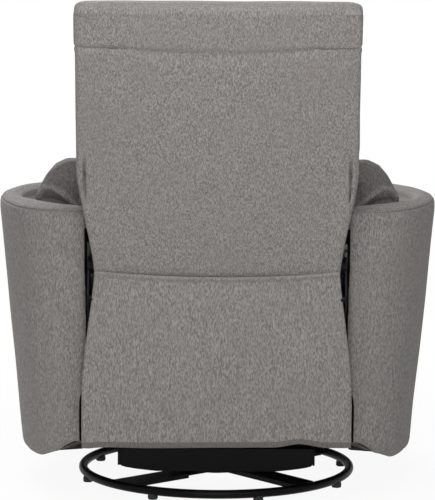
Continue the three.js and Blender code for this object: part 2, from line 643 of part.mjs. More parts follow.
function glideRail() {
  const [z0, z1] = [LOWER_PIVOT_Z - RAIL_HEIGHT / 2, RAIL_TOP_Z];
  const [y0, y1] = [FRONT_RAIL_Y - CROSS_RAIL_WIDTH / 2, REAR_RAIL_Y + CROSS_RAIL_WIDTH / 2];
  const outline = new THREE.Shape();
  outline.moveTo(y0, z1 - RAIL_END_HEIGHT);
  outline.lineTo(-RAIL_DEEP_HALF, z0);
  outline.lineTo(RAIL_DEEP_HALF, z0);
  outline.lineTo(y1, z1 - RAIL_END_HEIGHT);
  outline.lineTo(y1, z1);
  outline.lineTo(y0, z1);
  for (const { sign } of FRONT_REAR) {
    outline.holes.push(roundHole(sign * GLIDE_PIVOT_REACH, LOWER_PIVOT_Z, GLIDE_PIN_RADIUS + PIN_CLEARANCE));
  }
  const plate = sheetAcrossX(outline, RAIL_X, RAIL_X + RAIL_THICKNESS);
  const flange = block(RAIL_X, RAIL_X + RAIL_FLANGE, y0, y1, z1, z1 + RAIL_THICKNESS);
  return join(plate, flange);
}

function crossRail(y) {
  const half = ARM_INNER_X - SEAT_GAP;
  const z0 = CROSS_RAIL_BOTTOM_Z;
  return block(-half, half, y - CROSS_RAIL_WIDTH / 2, y + CROSS_RAIL_WIDTH / 2, z0, z0 + CROSS_RAIL_HEIGHT);
}

const GUIDE_X = PLATE_X + PLATE_THICKNESS + SLIDE_CLEARANCE;

function slideGuide() {
  const outer = ARM_INNER_X - SEAT_GAP;
  const [z0, z1] = [GUIDE_Z - GUIDE_HEIGHT / 2, GUIDE_Z + GUIDE_HEIGHT / 2];
  const whole = block(GUIDE_X, outer, GUIDE_FRONT_Y, GUIDE_REAR_Y, z0, z1);
  const hollow = block(
    GUIDE_X - CUT_OVERRUN, outer - GUIDE_WALL, GUIDE_FRONT_Y - CUT_OVERRUN, GUIDE_REAR_Y - GUIDE_WALL,
    z0 + GUIDE_WALL, z1 - GUIDE_WALL,
  );
  return cut(whole, hollow);
}

// A place in plan beside the seat: a share of the way from the inner side to the widest
// part, and a share of the way from the rear end to the front end
function armPlace([xShare, yShare]) {
  return new THREE.Vector3(
    lerp(ARM_INNER_X, ARM_HALF_WIDTH, xShare), lerp(ARM_REAR_Y, ARM_FRONT_Y, yShare), 0,
  );
}

// The rim's outer and inner lines in plan, both from the rear end round to the front end
const ARM_OUTER_SHARES = [
  [-0.02, 0], [0.16, 0.006], [0.36, 0.024], [0.64, 0.088], [0.86, 0.224], [0.97, 0.37], [1, 0.5],
  [0.93, 0.686], [0.76, 0.844], [0.54, 0.943], [0.32, 0.99], [0.12, 1], [0.01, 0.988],
];
const ARM_INNER_SHARES = [
  [-0.03, 0.036], [0.03, 0.09], [0.17, 0.125], [0.36, 0.178], [0.55, 0.26], [0.67, 0.35], [0.72, 0.47],
  [0.66, 0.62], [0.48, 0.755], [0.26, 0.86], [0.09, 0.925], [0.02, 0.95], [-0.01, 0.968],
];
const ARM_STATIONS = 26;

const armRimZ = (y) => lerp(ARM_RIM_REAR_Z, ARM_RIM_FRONT_Z, ((ARM_REAR_Y - y) / (ARM_REAR_Y - ARM_FRONT_Y)) ** 1.6);
const armBottomZ = (y) => ARM_BOTTOM_Z
  + ARM_REAR_RISE * Math.max(0, (y - (ARM_REAR_Y - ARM_REAR_RISE_LENGTH)) / ARM_REAR_RISE_LENGTH) ** 1.3;

function armStations() {
  const outerLine = new THREE.CatmullRomCurve3(ARM_OUTER_SHARES.map(armPlace), false, 'centripetal');
  const innerLine = new THREE.CatmullRomCurve3(ARM_INNER_SHARES.map(armPlace), false, 'centripetal');
  const stations = [];
  for (let i = 0; i <= ARM_STATIONS; i += 1) {
    const outer = outerLine.getPoint(i / ARM_STATIONS);
    const tangent = outerLine.getTangent(i / ARM_STATIONS);
    stations.push({
      outer,
      inward: new THREE.Vector3(tangent.y, -tangent.x, 0).normalize(),
      innerRim: innerLine.getPoint(i / ARM_STATIONS),
      lowY: lerp(ARM_REAR_Y - ARM_END_SETBACK, ARM_FRONT_Y + 2 * ARM_END_SETBACK, i / ARM_STATIONS),
      rim: armRimZ(outer.y),
      foot: armBottomZ(outer.y),
    });
  }
  return stations;
}

// One level line round an arm: along the outside to the front, then back along the inside
function armRing(stations, level) {
  const outside = [];
  const inside = [];
  for (const station of stations) {
    const { outer, inward, innerRim, lowY, rim, foot } = station;
    const z = level.height(station);
    const taper = ARM_TAPER * (1 - Math.min(1, (z - foot) / (rim - foot)));
    const shoulder = ARM_SHOULDER * Math.max(0, 1 - (rim - z) / ARM_SHOULDER_DROP) ** 2;
    const lean = (taper + shoulder + level.inset) * lerp(1, ARM_REAR_LEAN, Math.max(0, -inward.y));
    const scoop = Math.max(0, Math.min(1, (z - ARM_SCOOP_Z) / (rim - ARM_RIM_ROUND - ARM_SCOOP_Z))) ** 0.8;
    const leastX = ARM_INNER_X + ARM_END_ROUND;
    const wall = new THREE.Vector3(outer.x + inward.x * lean, outer.y + inward.y * lean, z);
    wall.x = Math.max(wall.x, lerp(leastX, Math.min(outer.x, leastX), scoop));
    const lining = new THREE.Vector3(lerp(ARM_INNER_X, innerRim.x, scoop), lerp(lowY, innerRim.y, scoop), z);
    const across = wall.clone().sub(lining);
    const pinch = Math.min(0.4, level.pinch / Math.max(across.length(), ARM_RIM_ROUND)) + level.fold;
    outside.push(wall.addScaledVector(across, -level.fold));
    inside.unshift(lining.addScaledVector(across, pinch));
  }
  return [...outside, ...inside];
}

function armLevels() {
  const levels = [];
  const footSteps = 3;
  for (let i = 0; i <= footSteps; i += 1) {
    const turn = (Math.PI / 2) * (i / footSteps);
    levels.push({
      height: ({ foot }) => foot + ARM_BOTTOM_ROUND * (1 - Math.cos(turn)),
      inset: ARM_BOTTOM_ROUND * (1 - Math.sin(turn)), pinch: 0, fold: 0,
    });
  }
  const faceShares = [0.35, 0.7];
  for (const share of faceShares) {
    levels.push({
      height: ({ foot }) => lerp(foot + ARM_BOTTOM_ROUND, ARM_SCOOP_Z, share), inset: 0, pinch: 0, fold: 0,
    });
  }
  const scoopShares = [0, 0.4, 0.75];
  for (const share of scoopShares) {
    levels.push({
      height: ({ rim }) => lerp(ARM_SCOOP_Z, rim - ARM_RIM_ROUND, share), inset: 0, pinch: 0, fold: 0,
    });
  }
  const rimSteps = 2;
  for (let i = 0; i <= rimSteps; i += 1) {
    const turn = (Math.PI / 2) * (i / rimSteps);
    const inset = ARM_RIM_ROUND * (1 - Math.cos(turn));
    levels.push({
      height: ({ rim }) => rim - ARM_RIM_ROUND * (1 - Math.sin(turn)), inset, pinch: inset, fold: 0,
    });
  }
  levels.push({
    height: ({ rim }) => rim + ARM_RIM_CROWN, inset: ARM_RIM_ROUND, pinch: ARM_RIM_ROUND, fold: 0.28,
  });
  return levels;
}

function armSolid() {
  const stations = armStations();
  return stripLoft(armLevels().map((level) => armRing(stations, level)));
}

function armUnderside() {
  const stations = armStations().slice(2, -2);
  const rings = [UNDERSIDE_GAP, UNDERSIDE_GAP + UNDERSIDE_THICKNESS].map((below) => armRing(stations, {
    height: ({ foot }) => foot - below, inset: ARM_BOTTOM_ROUND + UNDERSIDE_INSET, pinch: UNDERSIDE_INSET, fold: 0,
  }));
  return stripLoft(rings);
}

const PULL_X = -(ARM_INNER_X - SEAT_GAP - PULL_THICKNESS / 2);

function releasePull() {
  const half = PULL_WIDTH / 2;
  const outline = new THREE.Shape();
  outline.moveTo(PULL_Y - half, PULL_BOTTOM_Z);
  outline.lineTo(PULL_Y + half, PULL_BOTTOM_Z);
  outline.lineTo(PULL_Y + half, PULL_TOP_Z - half);
  outline.absarc(PULL_Y, PULL_TOP_Z - half, half, 0, Math.PI, false);
  const hole = new THREE.Path();
  const radius = PULL_LOOP_HOLE / 2;
  hole.absarc(PULL_Y, PULL_TOP_Z - half, radius, 0, Math.PI, false);
  hole.absarc(PULL_Y, PULL_TOP_Z - half - PULL_LOOP_HOLE, radius, Math.PI, 2 * Math.PI, false);
  outline.holes.push(hole);
  return sheetAcrossX(outline, PULL_X - PULL_THICKNESS / 2, PULL_X + PULL_THICKNESS / 2);
}

function chassisAssembly() {
  const chassis = new THREE.Group();
  chassis.add(piece('front_cross_rail', crossRail(FRONT_RAIL_Y), timber()));
  chassis.add(piece('rear_cross_rail', crossRail(REAR_RAIL_Y), timber()));
  for (const side of SIDES) {
    chassis.add(piece(`glide_rail_${side.name}`, mirrored(glideRail(), side.sign), blackSteel()));
    chassis.add(piece(`slide_guide_${side.name}`, mirrored(slideGuide(), side.sign), blackSteel()));
    chassis.add(piece(`arm_${side.name}`, mirrored(armSolid(), side.sign), upholstery()));
    chassis.add(piece(`arm_underside_${side.name}`, mirrored(armUnderside(), side.sign), liningCloth()));
  }
  chassis.add(piece('release_pull', releasePull(), upholstery()));
  return chassis;
}

// Seat: side plates, frame, springs, cushion and the skirt at the rear

const SKIRT_RAIL_Y = SKIRT_Y - SEAT_GAP - SKIRT_RAIL_RADIUS;
const SKIRT_RAIL_Z = RECLINE_Z - SKIRT_RAIL_DROP;
const SCISSOR_REST_DROP = SCISSOR_LENGTH * Math.cos(SCISSOR_REST);
const SCISSOR_REST_REACH = SCISSOR_LENGTH * Math.sin(SCISSOR_REST);
const LAYER_A = PLATE_X - SCISSOR_LAYER_GAP - SCISSOR_THICKNESS;
const LAYER_B = LAYER_A - SCISSOR_LAYER_GAP - SCISSOR_THICKNESS;

function sidePlate() {
  const [low, high] = [GUIDE_Z - GUIDE_HEIGHT / 2, GUIDE_Z + GUIDE_HEIGHT / 2];
  const slotHalf = SCISSOR_PIN_RADIUS + PIN_CLEARANCE;
  const slotLow = SCISSOR_Z - SCISSOR_REST_DROP;
  const lug = 2 * SCISSOR_LINK_HALF;
  const eye = RECLINE_BOSS_RADIUS + PLATE_THICKNESS;
  const outline = new THREE.Shape();
  outline.moveTo(SCISSOR_Y - lug, high);
  outline.lineTo(SCISSOR_Y - lug, slotLow - lug);
  outline.lineTo(SCISSOR_Y + lug, slotLow - lug);
  outline.lineTo(SCISSOR_Y + 2 * lug, low);
  outline.lineTo(SEAT_FRAME_REAR_Y - 2 * lug, low);
  outline.lineTo(SKIRT_RAIL_Y + SKIRT_RAIL_RADIUS, SKIRT_RAIL_Z - 2 * SKIRT_RAIL_RADIUS);
  outline.lineTo(SKIRT_RAIL_Y + SKIRT_RAIL_RADIUS, SKIRT_RAIL_Z + SKIRT_RAIL_RADIUS);
  outline.absarc(RECLINE_Y, RECLINE_Z, eye, -0.3, Math.PI * 0.8, false);
  outline.lineTo(SEAT_FRAME_REAR_Y - lug, high);
  const slot = new THREE.Path();
  slot.absarc(SCISSOR_Y, slotLow, slotHalf, Math.PI, 2 * Math.PI, false);
  slot.absarc(SCISSOR_Y, slotLow + SCISSOR_SLOT_TRAVEL, slotHalf, 0, Math.PI, false);
  outline.holes.push(slot);
  const plate = sheetAcrossX(outline, PLATE_X, PLATE_X + PLATE_THICKNESS);
  const flange = block(
    PLATE_X - PLATE_FLANGE_WIDTH, PLATE_X + PLATE_THICKNESS / 2, SEAT_FRAME_STEP_Y, SEAT_FRAME_REAR_Y,
    SEAT_FRAME_BOTTOM_Z - SEAT_GAP - PLATE_THICKNESS, SEAT_FRAME_BOTTOM_Z - SEAT_GAP,
  );
  const slider = block(
    PLATE_X, ARM_INNER_X - SEAT_GAP - GUIDE_WALL - SLIDE_CLEARANCE, SLIDER_FRONT_Y, SLIDER_REAR_Y,
    low + GUIDE_WALL + SLIDE_CLEARANCE, high - GUIDE_WALL - SLIDE_CLEARANCE,
  );
  const scissorPin = [
    rodAlongX(SCISSOR_PIN_RADIUS, LAYER_A - SEAT_GAP, PLATE_X + SEAT_GAP, SCISSOR_Y, SCISSOR_Z, 14),
    rodAlongX(SCISSOR_PIN_RADIUS + PIN_HEAD, LAYER_A - SEAT_GAP - PIN_HEAD / 2, LAYER_A - SEAT_GAP, SCISSOR_Y, SCISSOR_Z, 14),
  ];
  const bracketOuter = BACK_FRAME_HALF_WIDTH + SEAT_GAP + BRACKET_THICKNESS;
  const reclinePin = [
    rodAlongX(RECLINE_BOSS_RADIUS, bracketOuter + SEAT_GAP, PLATE_X + SEAT_GAP, RECLINE_Y, RECLINE_Z, 18),
    rodAlongX(RECLINE_PIN_RADIUS, BACK_FRAME_HALF_WIDTH - 2 * SEAT_GAP, PLATE_X, RECLINE_Y, RECLINE_Z, 18),
    rodAlongX(RECLINE_BOSS_RADIUS, BACK_FRAME_HALF_WIDTH - PIN_HEAD, BACK_FRAME_HALF_WIDTH, RECLINE_Y, RECLINE_Z, 18),
  ];
  return join(plate, flange, slider, ...scissorPin, ...reclinePin);
}

function seatFrame() {
  const outline = new THREE.Shape();
  const [rear, step, front] = [SEAT_FRAME_REAR_Y, SEAT_FRAME_STEP_Y, SEAT_FRAME_FRONT_Y];
  const [wide, nose, rail] = [SEAT_FRAME_HALF_WIDTH, SEAT_NOSE_HALF_WIDTH, SEAT_RAIL_WIDTH];
  outline.moveTo(-wide, rear);
  outline.lineTo(-wide, step);
  outline.lineTo(-nose, step);
  outline.lineTo(-nose, front);
  outline.lineTo(nose, front);
  outline.lineTo(nose, step);
  outline.lineTo(wide, step);
  outline.lineTo(wide, rear);
  const hole = new THREE.Path();
  hole.moveTo(-wide + rail, rear - rail);
  hole.lineTo(wide - rail, rear - rail);
  hole.lineTo(wide - rail, front + rail);
  hole.lineTo(-wide + rail, front + rail);
  outline.holes.push(hole);
  return sheetAcrossZ(outline, SEAT_FRAME_BOTTOM_Z, SEAT_FRAME_BOTTOM_Z + SEAT_FRAME_THICKNESS);
}

const SEAT_FRAME_TOP_Z = SEAT_FRAME_BOTTOM_Z + SEAT_FRAME_THICKNESS;

function wireAlong(points, radius, steps) {
  const round = new THREE.Shape();
  round.absarc(0, 0, radius, 0, 2 * Math.PI, false);
  return new THREE.ExtrudeGeometry(round, {
    steps, bevelEnabled: false, curveSegments: 3, extrudePath: new THREE.CatmullRomCurve3(points, false, 'centripetal'),
  });
}

// Sinuous springs from the front rail to the rear rail, tied by two cross wires
function seatSprings() {
  const z = SEAT_FRAME_TOP_Z - 3 * SPRING_WIRE;
  const y0 = SEAT_FRAME_FRONT_Y + SEAT_RAIL_WIDTH + SEAT_GAP;
  const y1 = SEAT_FRAME_REAR_Y - SEAT_RAIL_WIDTH - SEAT_GAP;
  const springs = [];
  for (let index = 0; index < SPRING_COUNT; index += 1) {
    const x = (index - (SPRING_COUNT - 1) / 2) * SPRING_SPREAD;
    const points = [new THREE.Vector3(x, y0, z)];
    for (let loop = 1; loop < SPRING_LOOPS; loop += 1) {
      const swing = SPRING_AMPLITUDE * (loop % 2 === 0 ? 1 : -1);
      points.push(new THREE.Vector3(x + swing, lerp(y0, y1, loop / SPRING_LOOPS), z));
    }
    points.push(new THREE.Vector3(x, y1, z));
    points.splice(1, 0, new THREE.Vector3(x, y0 + SPRING_TAIL, z));
    points.splice(points.length - 1, 0, new THREE.Vector3(x, y1 - SPRING_TAIL, z));
    springs.push(wireAlong(points, SPRING_WIRE, SPRING_LOOPS * 2));
  }
  const tieShares = [0.33, 0.67];
  const reach = ((SPRING_COUNT - 1) / 2) * SPRING_SPREAD + SPRING_AMPLITUDE;
  const ties = tieShares.map((share) => rodAlongX(SPRING_WIRE, -reach, reach, lerp(y0, y1, share), z, 6));
  return join(...springs, ...ties);
}

// A box cushion: rings from the middle of its underside round its side to its crown
function boxCushion({ halfX, halfY, thick, crown, round, draw, sides = 36 }) {
  const rings = [];
  const flatShares = [0.45, 0.8];
  const sideSteps = 4;
  const crownShares = [0.94, 0.82, 0.6, 0.3];
  const ringAt = (scaleShare, inset, z, drawn) => squareRound(halfX - inset, halfY - inset, 9, sides)
    .map(([x, y]) => {
      const alongX = 1 - Math.min(1, Math.abs(x) / halfX) ** 2;
      const alongY = 1 - Math.min(1, Math.abs(y) / halfY) ** 2;
      return new THREE.Vector3(
        scaleShare * (x - Math.sign(x) * drawn * draw * alongY * (Math.abs(x) / halfX) ** 6),
        scaleShare * (y - Math.sign(y) * drawn * draw * alongX * (Math.abs(y) / halfY) ** 6),
        z,
      );
    });
  for (const share of flatShares) rings.push(ringAt(share, round / 2, 0, 0));
  for (let i = 0; i <= sideSteps; i += 1) {
    const turn = (Math.PI / 2) * (i / sideSteps);
    rings.push(ringAt(1, (round / 2) * (1 - Math.sin(turn)), (round / 2) * (1 - Math.cos(turn)), Math.sin(turn)));
  }
  for (let i = 0; i <= sideSteps; i += 1) {
    const turn = (Math.PI / 2) * (i / sideSteps);
    rings.push(ringAt(1, round * (1 - Math.cos(turn)), thick - crown - round * (1 - Math.sin(turn)), Math.cos(turn)));
  }
  for (const share of crownShares) {
    rings.push(ringAt(share, round, thick - crown + crown * (1 - share ** 2.4), 0));
  }
  return closedLoft(rings);
}

const SEAT_CUSHION_BOTTOM_Z = SEAT_FRAME_TOP_Z + SEAT_GAP;
const SEAT_CUSHION_REAR_Y = RECLINE_Y - BACK_CUSHION_HEEL_RADIUS - 10;

function seatCushion() {
  const halfY = (SEAT_CUSHION_REAR_Y - SEAT_CUSHION_FRONT_Y) / 2;
  return boxCushion({
    halfX: SEAT_CUSHION_HALF_WIDTH, halfY, thick: SEAT_CUSHION_THICKNESS + SEAT_CUSHION_CROWN,
    crown: SEAT_CUSHION_CROWN, round: SEAT_CUSHION_ROUND, draw: SEAT_CUSHION_DRAW,
  }).translate(0, (SEAT_CUSHION_REAR_Y + SEAT_CUSHION_FRONT_Y) / 2, SEAT_CUSHION_BOTTOM_Z);
}

// The cloth that hangs from the rear of the seat, with shallow folds and flared edges
function skirt() {
  const columns = 24;
  const rows = 10;
  const rings = [];
  for (let row = 0; row <= rows; row += 1) {
    const down = row / rows;
    const half = lerp(SKIRT_TOP_HALF_WIDTH, SKIRT_HALF_WIDTH, smooth(down, -0.15, 0.75));
    const bow = SKIRT_SEAM_BOW * (1 - down);
    const front = [];
    const rear = [];
    for (let column = 0; column <= columns; column += 1) {
      const across = (2 * column) / columns - 1;
      const z = lerp(SKIRT_TOP_Z, SKIRT_BOTTOM_Z, down) - bow * (1 - across ** 2);
      const fold = SKIRT_FOLD * (0.4 + 0.6 * down) * (1 - Math.cos(across * Math.PI * 3));
      front.push(new THREE.Vector3(half * across, SKIRT_Y + fold, z));
      rear.unshift(new THREE.Vector3(half * across, SKIRT_Y + fold + SKIRT_THICKNESS, z));
    }
    rings.push([...front, ...rear]);
  }
  return stripLoft(rings);
}

// Like closedLoft, for flat rings whose halves face each other: the ends close in strips
function stripLoft(rings) {
  const count = rings[0].length;
  const half = count / 2;
  const places = rings.flat().flatMap((p) => [p.x, p.y, p.z]);
  const corners = [];
  for (let k = 0; k + 1 < rings.length; k += 1) {
    for (let i = 0; i < count; i += 1) {
      const j = (i + 1) % count;
      const [a, b, c, d] = [k * count + i, k * count + j, (k + 1) * count + j, (k + 1) * count + i];
      corners.push(a, b, c, a, c, d);
    }
  }
  for (const [ring, forward] of [[0, false], [rings.length - 1, true]]) {
    for (let i = 0; i + 1 < half; i += 1) {
      const start = ring * count;
      const [a, b, c, d] = [start + i, start + i + 1, start + count - 2 - i, start + count - 1 - i];
      if (forward) corners.push(a, b, c, a, c, d);
      else corners.push(a, c, b, a, d, c);
    }
  }
  const geometry = new THREE.BufferGeometry();
  geometry.setAttribute('position', new THREE.Float32BufferAttribute(places, 3));
  geometry.setIndex(corners);
  return facingOut(geometry);
}

function seatAssembly() {
  const seat = new THREE.Group();
  for (const side of SIDES) {
    seat.add(piece(`side_plate_${side.name}`, mirrored(sidePlate(), side.sign), blackSteel()));
  }
  const railHalf = PLATE_X - SEAT_GAP;
  seat.add(piece('seat_frame', seatFrame(), timber()));
  seat.add(piece('seat_springs', seatSprings(), zincSteel()));
  seat.add(piece('seat_cushion', seatCushion(), upholstery()));
  seat.add(piece('skirt_rail', rodAlongX(SKIRT_RAIL_RADIUS, -railHalf, railHalf, SKIRT_RAIL_Y, SKIRT_RAIL_Z), blackSteel()));
  seat.add(piece('rear_skirt', skirt(), upholstery()));
  return seat;
}

// Back: places on it are given along the back from the recline axis and inwards from its rear face

const ALONG_BACK = new THREE.Vector3(0, Math.sin(BACK_TILT), Math.cos(BACK_TILT));
const INTO_BACK = new THREE.Vector3(0, -Math.cos(BACK_TILT), Math.sin(BACK_TILT));

function onBack(x, along, depth) {
  return new THREE.Vector3(x, RECLINE_Y, RECLINE_Z)
    .addScaledVector(ALONG_BACK, along)
    .addScaledVector(INTO_BACK, depth - BACK_ROLL_RADIUS);
}

// A form drawn as (x, along the back, depth) set onto the back
function laidOnBack(geometry) {
  const onto = new THREE.Matrix4().makeBasis(new THREE.Vector3(1, 0, 0), ALONG_BACK, INTO_BACK);
  return geometry.applyMatrix4(onto.setPosition(onBack(0, 0, 0)));
}

// A place on the lower roll: turned about the recline axis by an angle below the rear face's foot
function onRoll(x, angle, depth) {
  const turn = -BACK_TILT - angle;
  const radius = BACK_ROLL_RADIUS - depth;
  return new THREE.Vector3(x, RECLINE_Y + radius * Math.cos(turn), RECLINE_Z + radius * Math.sin(turn));
}

// Where a level height meets the back, measured along it, at a given depth
const levelAlong = (z, depth) => (z - RECLINE_Z - (depth - BACK_ROLL_RADIUS) * INTO_BACK.z) / ALONG_BACK.z;
const CREASE = levelAlong(CREASE_Z, 0);

// Sections across the back turn level towards the crease
function onBackTurningLevel(x, along, depth) {
  const turned = smooth(along, CREASE_LEVEL_START, CREASE - CREASE_GAP);
  return onBack(x, along - turned * depth * (INTO_BACK.z / ALONG_BACK.z), depth);
}

const BACK_FRAME_DEPTH = BACK_PANEL_THICKNESS + BACK_PANEL_CROWN + SEAT_GAP;
const BACK_FRAME_TOP = CREASE - BACK_FRAME_BAR;
const CUSHION_START_DEPTH = BACK_FRAME_DEPTH + BACK_FRAME_THICKNESS + SEAT_GAP;

function backHalfWidth(along) {
  const taper = smooth(along, 0, BACK_TAPER_END);
  const lean = Math.max(0, along) / BACK_TAPER_END;
  return lerp(BACK_SEAM_HALF_WIDTH, BACK_HALF_WIDTH, Math.min(1, 0.5 * taper + 0.5 * Math.min(1, lean)));
}

// A ring across the back: its rear side is crowned and its edges are round
function panelRing(half, place, depth, crown, rear) {
  const across = 8;
  const edge = Math.min(depth, 2 * crown + 4) / 2;
  const points = [];
  for (let i = 0; i <= across; i += 1) {
    const share = (2 * i) / across - 1;
    const x = share * (half - edge);
    points.push(place(x, rear + edge * 0.3 * share ** 6 - crown * (1 - share ** 2)));
  }
  points.push(place(half, rear + edge));
  points.push(place(half, rear + depth - edge));
  for (let i = 0; i <= across; i += 1) {
    const share = 1 - (2 * i) / across;
    points.push(place(share * (half - edge), rear + depth));
  }
  points.push(place(-half, rear + depth - edge));
  points.push(place(-half, rear + edge));
  return points;
}

function outsideBack() {
  const rings = [];
  const rollSteps = 5;
  for (let i = rollSteps; i > 0; i -= 1) {
    const angle = (BACK_ROLL_ANGLE * i) / rollSteps;
    rings.push(panelRing(BACK_SEAM_HALF_WIDTH, (x, d) => onRoll(x, angle, d), BACK_PANEL_THICKNESS, 0, 0));
  }
  const steps = 12;
  const end = CREASE - CREASE_GAP;
  for (let i = 0; i <= steps; i += 1) {
    const along = (end * i) / steps;
    const crown = BACK_PANEL_CROWN * smooth(along, 0, BACK_TAPER_END);
    rings.push(panelRing(
      backHalfWidth(along), (x, d) => onBackTurningLevel(x, along, d), BACK_PANEL_THICKNESS, crown, crown,
    ));
  }
  return closedLoft(rings);
}

function backFrame() {
  const [low, high, half, bar] = [BACK_FRAME_START, BACK_FRAME_TOP, BACK_FRAME_HALF_WIDTH, BACK_FRAME_BAR];
  const outline = new THREE.Shape();
  outline.moveTo(-half, low);
  outline.lineTo(half, low);
  outline.lineTo(half, high);
  outline.lineTo(-half, high);
  const middle = (low + high) / 2;
  for (const [from, to] of [[low + bar, middle - bar / 2], [middle + bar / 2, high - bar]]) {
    const window = new THREE.Path();
    window.moveTo(-half + bar, from);
    window.lineTo(half - bar, from);
    window.lineTo(half - bar, to);
    window.lineTo(-half + bar, to);
    outline.holes.push(window);
  }
  const bars = new THREE.ExtrudeGeometry(outline, { depth: BACK_FRAME_THICKNESS, bevelEnabled: false });
  return laidOnBack(bars.translate(0, 0, BACK_FRAME_DEPTH));
}


function backCushion() {
  const rings = [];
  const end = CREASE - CREASE_GAP;
  const heelFront = (along) => BACK_ROLL_RADIUS + Math.sqrt(Math.max(0, BACK_CUSHION_HEEL_RADIUS ** 2 - along ** 2));
  const alongShares = [-1, -0.6, 0];
  const ring = (along, half, front, crown) => {
    const depth = front - CUSHION_START_DEPTH;
    const mirroredPlace = (x, d) => onBackTurningLevel(-x, along, 2 * CUSHION_START_DEPTH + depth - d);
    return panelRing(half, mirroredPlace, depth, crown, CUSHION_START_DEPTH);
  };
  for (const share of alongShares) {
    const along = share * BACK_CUSHION_HEEL_DROP;
    rings.push(ring(along, BACK_SEAM_HALF_WIDTH - BRACKET_THICKNESS * 4, heelFront(along) - 4, 2));
  }
  const steps = 11;
  for (let i = 1; i <= steps; i += 1) {
    const share = i / steps;
    const along = end * share;
    const fill = smooth(along, BACK_CUSHION_HEEL_RADIUS * 0.4, BACK_TAPER_END * 1.4);
    const topRound = 1 - 0.18 * smooth(share, 0.86, 1);
    const half = backHalfWidth(along) - 4 - 12 * (1 - smooth(along, 0, BACK_TAPER_END));
    const front = lerp(heelFront(0) - 4, BACK_CUSHION_DEPTH, fill) * topRound;
    rings.push(ring(along, half, front, BACK_CUSHION_CROWN * fill * (0.4 + 0.6 * Math.sin(Math.PI * Math.min(1, share)))));
  }
  return closedLoft(rings);
}

// The low cushion in front of the back, with wings that turn forward inside the tub
function lumbarCushion() {
  const stations = 26;
  const around = 14;
  const rings = [];
  for (let i = 0; i <= stations; i += 1) {
    const across = -Math.cos((Math.PI * i) / stations);
    const x = LUMBAR_HALF_WIDTH * across;
    const out = Math.abs(across);
    const close = Math.sqrt(Math.max(0.0012, 1 - out ** 10));
    const depth = LUMBAR_MIDDLE_DEPTH + LUMBAR_WING_FORWARD * smooth(out, 0.45, 1);
    const low = LUMBAR_START + LUMBAR_WING_LIFT * smooth(out, 0.62, 1);
    const high = LUMBAR_END - LUMBAR_WING_DROP * smooth(out, 0.8, 1) - LUMBAR_TIP_DROP * smooth(out, 0.9, 1);
    const [halfDepth, halfTall] = [(LUMBAR_DEPTH / 2) * close, ((high - low) / 2) * close];
    rings.push(squareRound(halfTall, halfDepth, 3.2, around)
      .map(([up, forward]) => onBack(x, (high + low) / 2 + up, depth + forward)));
  }
  return closedLoft(rings);
}

function reclineBracket() {
  const [x0, x1] = [BACK_FRAME_HALF_WIDTH + SEAT_GAP, BACK_FRAME_HALF_WIDTH + SEAT_GAP + BRACKET_THICKNESS];
  const near = BACK_PANEL_THICKNESS + BACK_PANEL_CROWN + 1;
  const far = CUSHION_START_DEPTH - 1;
  const places = [
    onBack(0, BRACKET_LENGTH, near), onBack(0, RECLINE_BOSS_RADIUS / 2, near),
    onBack(0, RECLINE_BOSS_RADIUS / 2, far), onBack(0, BRACKET_LENGTH, far),
  ];
  const outline = new THREE.Shape(places.map((p) => new THREE.Vector2(p.y, p.z)));
  const strap = sheetAcrossX(outline, x0, x1);
  const eye = rodAlongX(RECLINE_BOSS_RADIUS, x0, x1, RECLINE_Y, RECLINE_Z, 18);
  const bore = rodAlongX(RECLINE_PIN_RADIUS + PIN_CLEARANCE, x0 - CUT_OVERRUN, x1 + CUT_OVERRUN, RECLINE_Y, RECLINE_Z, 18);
  return cut(join(strap, eye), bore);
}

// Head section: one padded block above the crease, round about its hinge at the front
const HEAD_HINGE_DEPTH = HEAD_DEPTH - HEAD_HINGE_ROUND;
const HEAD_HINGE_ALONG = levelAlong(CREASE_Z + HEAD_HINGE_ROUND, HEAD_HINGE_DEPTH);

